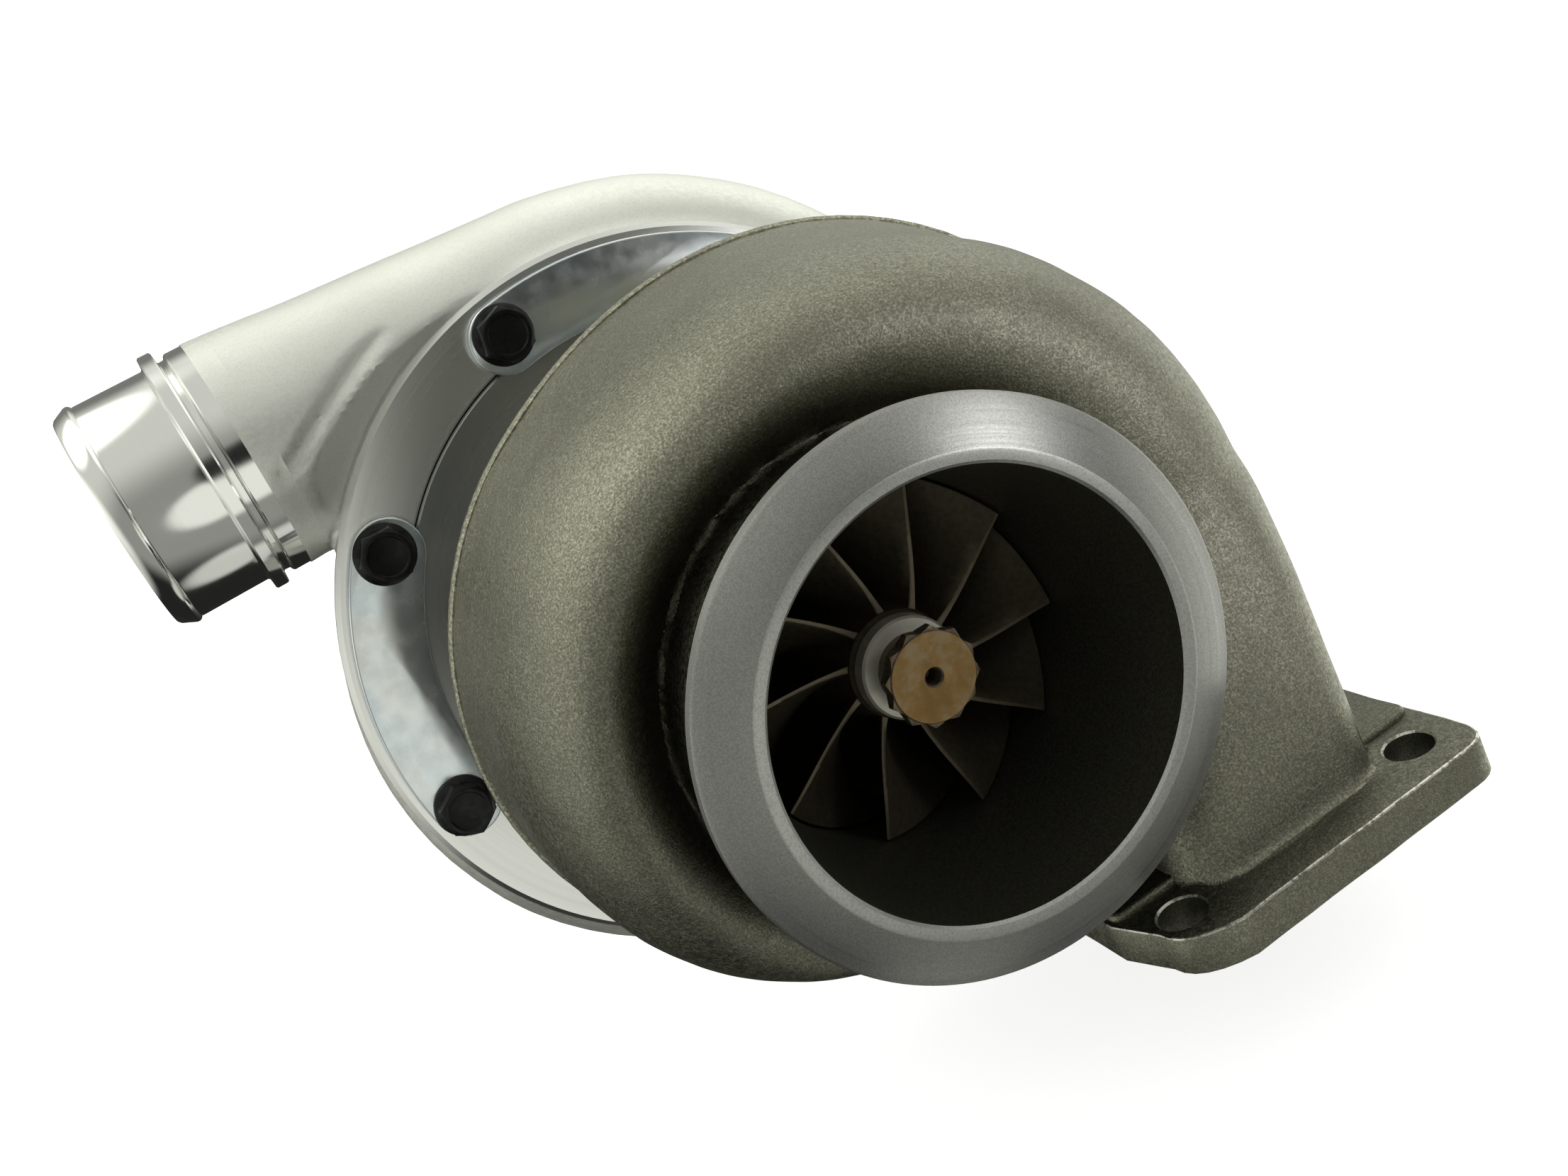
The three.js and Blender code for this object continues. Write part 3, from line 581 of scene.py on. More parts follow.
def turned_iron():
    """The faced V-band rim: rings left by the tool, over a fine grain."""
    f = Finish("turned_iron", 1, 0.4).round_the_axis()
    grain = f.noise(0.35)
    f.vary(f.span(grain, 0.3, 0.7), (0.29, 0.29, 0.275), (0.38, 0.38, 0.365))
    f.rough(f.rings(1.6), 0.36, 0.46)
    f.bump(f.rings(0.22), 0.012).bump(grain, 0.012)
    f.brushed(0.7)


def pitted_lip():
    f = Finish("pitted_lip", 1, 0.4).round_the_axis()
    pits = f.noise(0.4, 3, 0.7)
    f.vary(f.span(pits, 0.34, 0.56), (0.38, 0.38, 0.365), (0.5, 0.5, 0.48))
    f.bump(pits, 0.015)
    f.brushed(0.3)


def bore_iron_painted_shade():
    """The inside of the outlet, and of the flange's bolt holes: a smoother skin, painted dark as shade.
    """
    f = Finish("bore_iron_painted_shade", 0.9, 0.5)
    grit = f.noise(0.5)
    f.vary(f.span(grit, 0.3, 0.7), (0.065, 0.063, 0.05), (0.13, 0.127, 0.1))
    f.bump(grit, 0.06)


def chipped_edge_and_highlight():
    """A sharp cast edge, rubbed and chipped; its brightness is partly wear and partly a painted
    highlight.
    """
    f = Finish("chipped_edge_and_highlight", 1, 0.35)
    f.vary(f.span(f.noise(1.6, 3, 0.7), 0.4, 0.52), (0.26, 0.25, 0.21), (0.66, 0.64, 0.58))
    f.bump(f.noise(0.6), 0.1)


def wheel_alloy():
    f = Finish("wheel_alloy", 0.85, 0.5)
    f.vary(f.span(f.noise(1.4, 3, 0.6), 0.3, 0.7), (0.11, 0.093, 0.064), (0.15, 0.127, 0.088))
    f.bump(f.noise(0.5), 0.015)


def wheel_edge():
    f = Finish("wheel_edge", 0.9, 0.45)
    f.vary(f.noise(1.4), (0.11, 0.093, 0.066), (0.17, 0.145, 0.105))
    f.bump(f.noise(0.5), 0.01)


def heat_tinted():
    """The wheel's end, faced and tinted tan by heat, with crossing tool marks."""
    f = Finish("heat_tinted", 0.85, 0.4).round_the_axis()
    cloud = f.noise(5, 4, 0.65)
    f.vary(f.span(cloud, 0.34, 0.66), (0.25, 0.15, 0.055), (0.29, 0.18, 0.075), (0.31, 0.235, 0.135))
    f.rough(f.noise(2.4, 3), 0.36, 0.5)
    f.bump(f.rings(0.25), 0.01).bump(f.noise(0.3), 0.01)


def wheel_collar():
    f = Finish("wheel_collar", 0.55, 0.38).round_the_axis()
    f.vary(f.noise(3, 3), (0.5, 0.475, 0.4), (0.66, 0.64, 0.57))
    f.bump(f.rings(0.4), 0.02)


def blasted_aluminium():
    """Bead-blasted sand casting: pale, slightly creamy and matt."""
    f = Finish("blasted_aluminium", 0.8, 0.46)
    grit = f.noise(0.5, 2, 0.6)
    f.vary(f.span(f.noise(35), 0.3, 0.7), (0.86, 0.86, 0.81), (0.92, 0.92, 0.88))
    f.overlay(f.span(grit, 0.4, 0.8, 0, 0.4), (0.66, 0.65, 0.61))
    f.rough(f.noise(1.3), 0.42, 0.52)
    f.bump(f.noise(6), 0.08).bump(grit, 0.035)


def turned_aluminium(name, roughness, anisotropy, about="Y", centre=RIM_CENTRE, depth=0.012,
                     tone=1):
    f = Finish(name, 1, roughness).round_the_axis(about, centre)
    f.vary(f.rings(0.8), (0.82 * tone, 0.82 * tone, 0.8 * tone),
           (0.86 * tone, 0.86 * tone, 0.84 * tone))
    f.rough(f.rings(2.5), roughness * 0.9, roughness * 1.1)
    if depth:
        f.bump(f.rings(0.5), depth)
    f.brushed(anisotropy)


def zinc_plate():
    """Bright zinc over stamped steel, faintly blue, with stains and small scuffs."""
    f = Finish("zinc_plate", 0.9, 0.34)
    f.vary(f.span(f.noise(16, 4, 0.6), 0.3, 0.7),
           (0.66, 0.73, 0.78), (0.75, 0.79, 0.81), (0.79, 0.81, 0.8))
    f.overlay(f.span(f.noise(0.9), 0.55, 0.85, 0, 0.2), (0.5, 0.53, 0.55))
    f.rough(f.noise(5, 3), 0.2, 0.28)
    f.bump(f.noise(3, 3), 0.004)


def black_oxide():
    f = Finish("black_oxide", 0.3, 0.32)
    f.sockets["Specular IOR Level"].default_value = 0.3
    f.vary(f.noise(2.5, 3), (0.005, 0.005, 0.006), (0.012, 0.012, 0.013))
    f.rough(f.noise(2), 0.26, 0.4)
    f.bump(f.noise(0.9), 0.012)


def plain_metal(name, dark, light, metallic, roughness, grain=1.2, depth=0.02):
    f = Finish(name, metallic, roughness)
    f.vary(f.span(f.noise(grain, 3), 0.3, 0.7), dark, light)
    f.rough(f.noise(grain * 3), roughness * 0.8, roughness * 1.25)
    f.bump(f.noise(grain * 0.5), depth)


cast_iron()
cast_iron("bead_iron", 1.5, 0.38, 0.7, 0.2)
cast_iron("flange_side", 1.15, 0.5, 0.35, 0.05)
# a darker copy of the cast iron, at 0.6 of its tone, for the flange's flat tops: painted shade
cast_iron("flange_top_painted_shade", 0.6, 0.46, 0.5, 0.12)
chipped_edge_and_highlight()
turned_iron()
pitted_lip()
bore_iron_painted_shade()
wheel_alloy()
wheel_edge()
heat_tinted()
wheel_collar()
blasted_aluminium()
# the faced ring at 0.95 of the tone and the backplate at 0.5: painted shade
turned_aluminium("faced_aluminium", 0.26, 0.7, depth=0, tone=0.95)
turned_aluminium("backplate_aluminium_painted_shade", 0.26, 0.6, depth=0, tone=0.5)
turned_aluminium("polished_aluminium", 0.1, 0.3, "X", place((0, OUTLET_STATION, OUTLET_HEIGHT)), 0.002)
turned_aluminium("milled_aluminium", 0.18, 0.3)
zinc_plate()
black_oxide()
plain_metal("grip_steel", (0.12, 0.092, 0.062), (0.22, 0.17, 0.115), 0.8, 0.5)
plain_metal("turned_steel", (0.42, 0.42, 0.41), (0.6, 0.6, 0.59), 1, 0.3)
plain_metal("pressed_steel", (0.4, 0.38, 0.35), (0.55, 0.54, 0.51), 1, 0.4, 3)
plain_metal("bearing_bronze", (0.5, 0.33, 0.13), (0.68, 0.48, 0.22), 1, 0.3)
plain_metal("seal_rubber", (0.012, 0.012, 0.012), (0.03, 0.03, 0.03), 0, 0.6)


# ---- Turbine housing ----------------------------------------------------------------------
def section_outline(section, steps=10):
    """A section between an inner and an outer radius and a front and a back station.

    Its front corners are quarter ellipses, and its outer wall leans out to the back's radius.
    """
    inner, outer, back_radius, front, back, inner_corner, outer_corner, back_corner = section
    points = []
    for step in range(steps + 1):
        turn = math.pi / 2 * step / steps
        points.append((inner + inner_corner[0] * (1 - math.cos(turn)),
                       front + inner_corner[1] * (1 - math.sin(turn))))
    for step in range(steps + 3):
        turn = math.pi / 2 * step / (steps + 2)
        points.append((outer - outer_corner[0] * (1 - math.sin(turn)),
                       front + outer_corner[1] * (1 - math.cos(turn))))
    points.append((back_radius, back - back_corner))
    points.append((back_radius - back_corner, back))
    points.append((inner + back_corner, back))
    points.append((inner, back - back_corner))
    return points


def blend_sections(first, second, even):
    """Between two sections: the walls change evenly, and the front and its corners sooner."""
    soon = even**0.75
    paces = (even, even, even, soon, even, soon, soon, even)
    return [lerp(np.array(a), np.array(b), pace) for a, b, pace in zip(first, second, paces)]


def cast_scroll(angle):
    grown = ease((120 - angle) / 120)
    shrunk = ease((angle - 205) / (TONGUE_ANGLE - 205))
    outer = 79 + 19 * grown - 10 * shrunk
    width = outer - OUTLET_PIPE_RADIUS + 1
    return (
        OUTLET_PIPE_RADIUS - 2, outer, 80 + 27 * grown - 6 * shrunk,
        lerp(19, 38, angle / TONGUE_ANGLE), TURBINE_BACK,
        (0.43 * width + 2, 20), (0.57 * width, 40), 1.2)


CAST_NECK = (27, 81, 81, 4, 95.6, (12, 12), (12, 12), 8)


def passage_in(section):
    """The gas passage inside a stretch of the casting."""
    inner, outer, _, front, _, inner_corner, outer_corner, _ = section
    return (
        inner + 1, outer - CAST_WALL, outer - CAST_WALL, front + CAST_WALL, 82,
        [size * 0.8 for size in inner_corner], [size * 0.85 for size in outer_corner], 4)


PASSAGE_NECK = (31, 77, 77, 12.8, 86.8, (9, 9), (9, 9), 6)


def scroll_rings(section_at, neck, first_angle, bottom):
    """Rings round the axis from the tongue to 0 degrees, then straight down the inlet neck."""
    rings = []
    for angle in range(first_angle, -1, -5):
        rings.append([polar(r, angle, s) for r, s in section_outline(section_at(angle))])
    neck_steps = 12
    for step in range(1, neck_steps + 1):
        amount = step / neck_steps
        outline = section_outline(blend_sections(section_at(0), neck, amount))
        rings.append([(r, s, amount * NECK_BOTTOM) for r, s in outline])
    rings.append([(r, s, bottom) for r, s in section_outline(neck)])
    return rings


SHROUD_LINE = [(EXDUCER_RADIUS, EXDUCER_STATION), (EXDUCER_RADIUS, 47),
               (EXDUCER_RADIUS + 0.6, 54), (INDUCER_RADIUS, 58.5)]


def corner_arc(near, corner, far, steps=6):
    """Points of a quadratic curve that rounds a corner."""
    found = []
    for step in range(steps + 1):
        t = step / steps
        found.append(tuple(
            (1 - t) ** 2 * a + 2 * t * (1 - t) * b + t * t * c
            for a, b, c in zip(near, corner, far)))
    return found


def flange_outline(inset=0):
    centre = -AXIS_X
    left, right = centre - FLANGE_HALF_X + inset, centre + FLANGE_HALF_X - inset
    near = FLANGE_STATION - FLANGE_HALF_Y + inset
    far = FLANGE_STATION + FLANGE_HALF_Y - inset
    corner, chamfer, set_in = 8, 17, 4
    return [
        *corner_arc((right - corner, near), (right, near), (right, near + corner)),
        *corner_arc((right, far - corner), (right, far), (right - corner, far)),
        *corner_arc((left + chamfer, far), (left + set_in, far - 3), (left + set_in, far - 12)),
        (left, far - 24), (left, near + 24),
        *corner_arc((left + set_in, near + 12), (left + set_in, near + 3), (left + chamfer, near)),
    ]


def rounded_rectangle(centre, half_x, half_y, corner):
    points = []
    for number, (side_x, side_y) in enumerate(((1, 1), (-1, 1), (-1, -1), (1, -1))):
        middle = (centre[0] + side_x * (half_x - corner), centre[1] + side_y * (half_y - corner))
        points += arc(middle, corner, 90 * number, 90 * number + 90, 6)
    return points


HOUSING_BOLTS = [spot(HOUSING_CLAMP_RADIUS, 30 + 60 * n) for n in range(6)]


def back_bead():
    """The raised edge left along the back of the scroll by the mould's parting."""
    rings = []
    for angle in range(18, 236, 4):
        radius = cast_scroll(angle)[2]
        fade = ease((angle - 18) / 20) * ease((236 - angle) / 20)
        outline = [(-4, 0), (-4, -2.3), (0.2, -2.4), (0.75, -1.9), (0.9, -1.1), (0.75, -0.3), (0.4, 0)]
        rings.append([polar(radius - 1.2 * (1 - fade) + out, angle, TURBINE_BACK - 0.02 + along)
                      for out, along in outline])
    return loft("bead", rings)


def turbine_housing():
    flange_centre = (-AXIS_X, FLANGE_STATION)
    bottom = -AXIS_HEIGHT
    body = loft("turbine_housing_shown",
                scroll_rings(cast_scroll, CAST_NECK, TONGUE_ANGLE, NECK_BOTTOM - 3))
    pipe = turned("pipe", [
        (0, 6), (OUTLET_PIPE_RADIUS - 0.3, 7), (OUTLET_PIPE_RADIUS - 0.3, 46), (60, 45), (69, 58),
        (74, 92), (74, TURBINE_BACK), (0, TURBINE_BACK)])
    foot = prism("foot", flange_outline(2), bottom + 1, NECK_BOTTOM - 0.3, "Z")
    gather(body, pipe, foot)

    def soft_at(x, station, z):
        return (z > NECK_BOTTOM + 3) & (station < TURBINE_BACK - 4)

    remesh(body, 1.25, 16, soft_at)
    roughen(body, 20, 0.12)
    thin_out(body, 0.5)

    flange = prism("flange", wander(flange_outline(), 3, 0.1, 5), bottom, NECK_BOTTOM, "Z")
    step = prism("step", wander(rounded_rectangle(flange_centre, FLANGE_HALF_X - 1, 35.3, 3), 3,
                                0.15, 9), NECK_BOTTOM - 2, NECK_BOTTOM + 1.7, "Z")
    rim = turned("rim", [
        (40, LIP_STATION), (LIP_OUTER_RADIUS - 0.4, LIP_STATION),
        (LIP_OUTER_RADIUS + 0.1, LIP_STATION + 0.16), (56.0, -0.2), (RIM_RADIUS, 0.35),
        (RIM_RADIUS, 2.9), (56.1, 3.5), (OUTLET_PIPE_RADIUS + 0.6, 8.2),
        (OUTLET_PIPE_RADIUS - 4, 10.5), (40, 10.5)])
    join(body, bevel(flange, 0.5, 2, 50), bevel(step, 1.2, 3, 50), back_bead(), rim)
    bore = turned("bore", [
        (0, LIP_STATION - 6), (LIP_BORE_RADIUS + 1.2, LIP_STATION - 0.6),
        (LIP_BORE_RADIUS, LIP_STATION + 0.6), (LIP_BORE_RADIUS, 2),
        (EXDUCER_RADIUS + SHROUD_GAP, 31), *[(r + SHROUD_GAP, s) for r, s in curve(SHROUD_LINE, 16)],
        (42.5, 62), (42.5, 72.5), (46.5, 73), (46.5, 89),
        (54, 89), (54, TURBINE_BACK + 1), (0, TURBINE_BACK + 1)])
    passage = loft("passage", scroll_rings(
        lambda angle: passage_in(cast_scroll(angle)), PASSAGE_NECK, TONGUE_ANGLE - 15,
        bottom - 6))
    nozzle = turned("nozzle", [(40, 58.5), (55, 58.5), (55, 70), (40, 70)])
    back_facing = turned("back_facing", [(0, TURBINE_BACK), (112, TURBINE_BACK), (112, 104),
                                         (0, 104)], MEDIUM)
    holes = [turned("hole", [
        (0, bottom - 2), (FLANGE_HOLE_RADIUS, bottom - 2),
        (FLANGE_HOLE_RADIUS, NECK_BOTTOM - 0.45), (FLANGE_HOLE_RADIUS + 0.45, NECK_BOTTOM),
        (FLANGE_HOLE_RADIUS + 0.5, NECK_BOTTOM + 0.1), (9, NECK_BOTTOM + 0.1),
        (9, NECK_BOTTOM + 12), (0, NECK_BOTTOM + 12)], COARSE, "Z",
        (-AXIS_X + side_x * BOLT_SPACING_X / 2, FLANGE_STATION + side_y * BOLT_SPACING_Y / 2))
        for side_x in (-1, 1) for side_y in (-1, 1)]
    tappings = bolt_drills(HOUSING_BOLTS, TURBINE_BACK - 11, TURBINE_BACK + 1)
    cut(body, bore, passage, nozzle, back_facing, gather(*holes), gather(*tappings))

    def choose(radius, x, station, z, normal):
        # the flange's front top edge, painted bright: partly wear, partly a painted highlight
        edge = ((abs(z - NECK_BOTTOM + 0.25) < 0.3) & (normal[2] > 0.2) & (normal[2] < 0.95)
                & (np.hypot(normal[0], normal[1]) > 0.2) & (station < 20))
        from_hole = np.hypot(abs(x + AXIS_X) - BOLT_SPACING_X / 2,
                             abs(station - FLANGE_STATION) - BOLT_SPACING_Y / 2)
        return np.select([
            # the flange's bolt holes take the dark bore iron: painted shade
            (from_hole < FLANGE_HOLE_RADIUS + 0.1) & (z < NECK_BOTTOM),
            (station < 3.6) & (radius > LIP_OUTER_RADIUS) & (radius < RIM_RADIUS + 0.3) & (z > -60),
            (station < LIP_STATION + 1) & (radius > 43) & (radius < LIP_OUTER_RADIUS + 0.4),
            # the outlet's bore takes the dark bore iron too: painted shade
            (station < 60) & (radius < LIP_BORE_RADIUS + 0.3),
            (z < bottom + 0.05) | ((station > TURBINE_BACK - 0.05) & (radius < 72)),
            edge,
            (station > TURBINE_BACK - 2.5) & (radius > 72) & (z > -40),
            (z < NECK_BOTTOM - 0.3) & (x > 0),
            # the flange's flat tops take the darker copy of the iron: painted shade
            (z < NECK_BOTTOM + 2) & (normal[2] > 0.9),
        ], [3, 1, 2, 3, 1, 4, 5, 6, 7], 0)

    kinds = ("cast_iron", "turned_iron", "pitted_lip", "bore_iron_painted_shade", "chipped_edge_and_highlight", "bead_iron",
             "flange_side", "flange_top_painted_shade")
    dress(body, "turbine_housing", kinds, choose)


# ---- Wheels -------------------------------------------------------------------------------
BLADE_HEIGHTS = (0, 0.05, 0.1, 0.17, 0.28, 0.42, 0.58, 0.74, 0.88, 1)


def blade(hub, tip, angle_at, root_width, tip_width, steps=20):
    """One blade between a hub curve and a tip curve, thicker where it meets the hub."""
    roots, tips = curve(hub, steps), curve(tip, steps)
    rings = []
    for step in range(steps + 1):
        amount = step / steps
        sides = []
        for side in (-1, 1):
            edge = []
            for height in BLADE_HEIGHTS:
                radius = lerp(roots[step][0], tips[step][0], height)
                station = lerp(roots[step][1], tips[step][1], height)
                fillet = 0.5 * math.exp(-14 * height)
                half = lerp(root_width, tip_width, height) / 2 + fillet
                angle = angle_at(amount, height) + side * math.degrees(half / radius)
                edge.append(polar(radius, angle, station))
            sides.append(edge)
        rings.append(sides[0] + sides[1][::-1])
    count = len(rings[0])
    ends = [(first + step, first + step + 1, first + count - 2 - step, first + count - 1 - step)
            for first in (0, steps * count) for step in range(len(BLADE_HEIGHTS) - 1)]
    return bevel(skin("blade", rings, ends), 0.22, 1, 50)


def turbine_wheel():
    hub_line = [(11.5, 33), (13, 54), (22, 69), (INDUCER_RADIUS - 1, 70.5)]
    root_line = [(10.3, 33.5), (11.8, 54), (22, 70.5), (INDUCER_RADIUS - 0.6, 71)]
    lean, turn, bulge = 14, 46, 2.5
    core = turned("turbine_wheel_shaft_shown", [
        (0, NUT_FACE), (9.25, NUT_FACE), (9.45, NUT_FACE + 0.2), (9.3, NUT_FACE + 0.5),
        (8.9, NUT_FACE + 4.2), (7.9, NUT_FACE + 5.2), (7.6, 27.4),
        (10.3, 27.7), (10.8, 28.2), (10.9, 31.4), (10.4, 32.2), (11.2, 33.2),
        *curve(hub_line, 20), (INDUCER_RADIUS, 70.5), (INDUCER_RADIUS, WHEEL_BACK),
        (15.4, 72.5), (12.4, 74), (12.4, 77.4), (10.6, 77.4), (10.6, 79.6), (12.4, 79.6),
        (12.4, 82), (SHAFT_RADIUS, 84), (SHAFT_RADIUS, 132), (COMPRESSOR_SHAFT_RADIUS, 132),
        (COMPRESSOR_SHAFT_RADIUS, 212.4), (4.9, 213), (0, 213)], MEDIUM)
    points = []
    for corner in range(24):
        radius = 10.5 if corner % 2 == 0 else 9.3
        points.append(spot(radius, 15 * corner + 7))
    grip = prism("grip", points, NUT_FACE + 0.3, NUT_FACE + 4)
    chamfer = turned("chamfer", [
        (0, NUT_FACE - 0.1), (9.5, NUT_FACE + 0.2), (10.6, NUT_FACE + 0.6),
        (10.6, NUT_FACE + 2.4), (9.4, NUT_FACE + 3.6), (0, NUT_FACE + 3.6)], MEDIUM)
    join(core, combine(grip, "INTERSECT", chamfer))
    cut(core, turned("centre_drill", [
        (0, NUT_FACE - 1), (2.7, NUT_FACE - 1), (2.15, NUT_FACE), (1.8, NUT_FACE + 0.4),
        (1.8, NUT_FACE + 6), (0, NUT_FACE + 7)], COARSE))
    blades = []
    for number in range(TURBINE_BLADES):
        tip_angle = 24.2 + 360 / TURBINE_BLADES * number

        def angle_at(amount, height, tip_angle=tip_angle):
            early = 1 - amount
            return (tip_angle - lean * (1 - height) * early + turn * (1 - early**2)
                    + 4 * bulge * height * (1 - height) * early)

        blades.append(blade(root_line, SHROUD_LINE, angle_at, 1.2, 0.8))
    join(core, *blades)

    def choose(radius, x, station, z, normal):
        return np.select([
            (radius < 9.5) & (station < NUT_FACE + 0.1) & (normal[1] < -0.8),
            (radius < 10.7) & (station < NUT_FACE + 4),
            (radius < 11.1) & (station > 27.3) & (station < 32.4),
            station > 73,
            (normal[1] < -0.75) & (radius > 11) & (station < EXDUCER_STATION + 0.6),
        ], [2, 5, 3, 4, 1], 0)

    kinds = ("wheel_alloy", "wheel_edge", "heat_tinted", "wheel_collar", "turned_steel", "grip_steel")
    dress(core, "turbine_wheel_shaft", kinds, choose)


IMPELLER_LINE = [(IMPELLER_INLET_RADIUS, IMPELLER_NOSE - 1.5), (IMPELLER_INLET_RADIUS, 186),
                 (38, 174), (IMPELLER_RADIUS, 169.8)]


def compressor_wheel():
    nose = IMPELLER_NOSE
    rim = IMPELLER_RADIUS
    inlet = IMPELLER_INLET_RADIUS
    full = ([(10, nose - 1), (12, 184), (22, 166.4), (rim - 0.2, 165.4)], IMPELLER_LINE)
    splitter = ([(11.2, 191), (13.5, 179), (24, 166.4), (rim - 0.2, 165.4)],
                [(inlet, 191), (inlet + 0.2, 181), (39, 173), (rim, 169.8)])
    hub_line = [(11, nose), (13, 184), (22, 167.5), (rim - 0.5, 166.3)]
    bore = COMPRESSOR_SHAFT_RADIUS + CLEARANCE
    core = turned("compressor_wheel_shown", [
        (bore, COVER_FACE + 1), (12, COVER_FACE + 1), (12, 164.6), (rim, 165.2), (rim, 166),
        *curve(hub_line, 20)[::-1], (bore, nose)], MEDIUM)
    blades = []
    for number in range(IMPELLER_BLADES * 2):
        short = number % 2 == 1
        first = 180 / IMPELLER_BLADES * number

        def angle_at(amount, height, first=first, short=short):
            swept = 0.25 + 0.75 * amount if short else amount
            return first + 6 * (1 - height) * (1 - amount) - 52 * swept

        blades.append(blade(*(splitter if short else full), angle_at, 1.2, 0.9))
    join(core, *blades)
    dress(core, "compressor_wheel", ["milled_aluminium"])


def compressor_nut():
    low = IMPELLER_NOSE + CLEARANCE
    nut = prism("compressor_nut_shown", hexagon(9.2), 204.6, 210.5)
    chamfer = turned("chamfer", [(0, 204), (9.3, 204), (9.3, 209.6), (8, 210.6), (0, 210.6)],
                     MEDIUM)
    combine(nut, "INTERSECT", chamfer)
    join(nut, turned("washer", [(0, low), (9.6, low), (9.6, 205), (9.2, 205.4), (0, 205.4)], MEDIUM))
    cut(nut, bar("Y", (0, 0), 190, 220, COMPRESSOR_SHAFT_RADIUS + CLEARANCE))
    dress(bevel(nut, 0.2), "compressor_nut", ["turned_steel"])


# ---- Bearing housing ----------------------------------------------------------------------
PIN_STATION = 92
OIL_STATION = 118
WATER_STATION = 106
OIL_PAD = 46
DRAIN_PAD = 48
WATER_REACH = 42
BACKPLATE_BOLT_SEAT = 138
BACKPLATE_BOLTS = [spot(43.5, 45 + 90 * n) for n in range(4)]


def bolt_drills(spots, low, high):
    return [bar("Y", at, low, high, SHANK_RADIUS + CLEARANCE) for at in spots]


def center_housing():
    body = turned("center_housing_shown", [
        (0, 90.8), (50, 91.2), (50, 97), (39, 98.5), (34.6, 102), (34.6, 130), (40, 134),
        (49.5, 139), (49.5, 145), (0, 145)])
    ports = [
        bar("Z", (0, OIL_STATION), 0, OIL_PAD - 2, 13.4, MEDIUM),
        bar("Z", (0, OIL_STATION), -DRAIN_PAD + 2, 0, 14.4, MEDIUM),
        bar("X", (WATER_STATION, 0), -WATER_REACH + 2, WATER_REACH - 2, 10, MEDIUM),
    ]
    ribs = [prism("rib", [(-u, -v), (u, -v), (u, v), (-u, v)], 100, 134)
            for u, v in ((36.5, 3), (3, 36.5))]
    gather(body, *ports, *ribs)
    remesh(body, 1.3, 8)
    roughen(body, 10, 0.25)
    thin_out(body, 0.6)
    join(
        body,
        turned("nose", [(0, 76.5), (20, 76.5), (22, 88), (45.5, 90.8), (53, 90.8), (53.6, 91.4),
                        (53.6, 97.4), (53, TURBINE_BACK), (0, TURBINE_BACK)]),
        turned("seat", [(0, 139.5), (50.4, 139.5), (51, 140.1), (51, 146), (0, 146)]),
        bar("Z", (0, OIL_STATION), OIL_PAD - 5, OIL_PAD, 14, MEDIUM),
        bar("Z", (0, OIL_STATION), -DRAIN_PAD, -DRAIN_PAD + 5, 15, MEDIUM),
        bar("X", (WATER_STATION, 0), -WATER_REACH, -WATER_REACH + 4, 10.5, MEDIUM),
        bar("X", (WATER_STATION, 0), WATER_REACH - 4, WATER_REACH, 10.5, MEDIUM))
    cut(
        body,
        turned("bore", [
            (0, 76), (12.8, 76), (12.8, 82.5), (18, 83), (18, 86.5), (14.3, 87), (14.3, 131),
            (16, 131.5), (16, 136.8), (31, 136.8), (31, 147), (0, 147)], MEDIUM),
        bar("Z", (0, OIL_STATION), 5, OIL_PAD + 1, 3.5),
        bar("Z", (0, OIL_STATION), -DRAIN_PAD - 1, -5, 9),
        bar("Z", (0, PIN_STATION), -21, -5, 1.8),
        bar("X", (WATER_STATION, 0), 24, WATER_REACH + 1, 6),
        bar("X", (WATER_STATION, 0), -WATER_REACH - 1, -24, 6),
        turned("jacket", [(22, 96), (29, 96), (29, 106), (22, 106)], MEDIUM))
    cut(body, gather(*bolt_drills(BACKPLATE_BOLTS, 130, 150)),
        gather(*[bar("Y", at, 126, BACKPLATE_BOLT_SEAT, 8, MEDIUM) for at in BACKPLATE_BOLTS]))

    def choose(radius, x, station, z, normal):
        return ((abs(z - OIL_PAD) < 0.05) | (abs(z + DRAIN_PAD) < 0.05)
                | (abs(abs(x) - WATER_REACH) < 0.05) | (abs(station - BACKPLATE_BOLT_SEAT) < 0.05)
                | (radius > 50.3) | (station > 145.9))

    dress(body, "center_housing", ["cast_iron", "turned_steel"], choose)


def compressor_backplate():
    disc = turned("compressor_backplate_shown", [
        (13.1, 149.5), (13.1, 164), (75.2, 164), (75.6, 163.6), (79.4, 163.4), (79.7, 163.1),
        (79.7, 162.2), (77.4, 162.2), (77.4, 159.6), (79.7, 159.6), (79.7, 157.9),
        (79.1, COVER_FACE), (60, COVER_FACE), (58, 156.6), (52.4, 148.5), (52, 147),
        (51.6, 146.3), (30, 146.3), (30, 145), (28, 145), (28, 142.4), (30, 142.4), (30, 141.2),
        (24, 141.2), (24, 149.5)])
    cut(disc, gather(*bolt_drills(BACKPLATE_BOLTS, 144, 157.5)))
    # the backplate's turned aluminium is painted dark as shade
    dress(disc, "compressor_backplate", ["backplate_aluminium_painted_shade"])


# ---- Compressor cover ---------------------------------------------------------------------
def cover_grown(angle):
    return (angle - SCROLL_START) / (SCROLL_END - SCROLL_START)


def cover_tube(angle):
    return lerp(11, 27, cover_grown(angle))


def cover_reach(angle):
    return 113 - 19 * (1 - cover_grown(angle)) ** 2.5


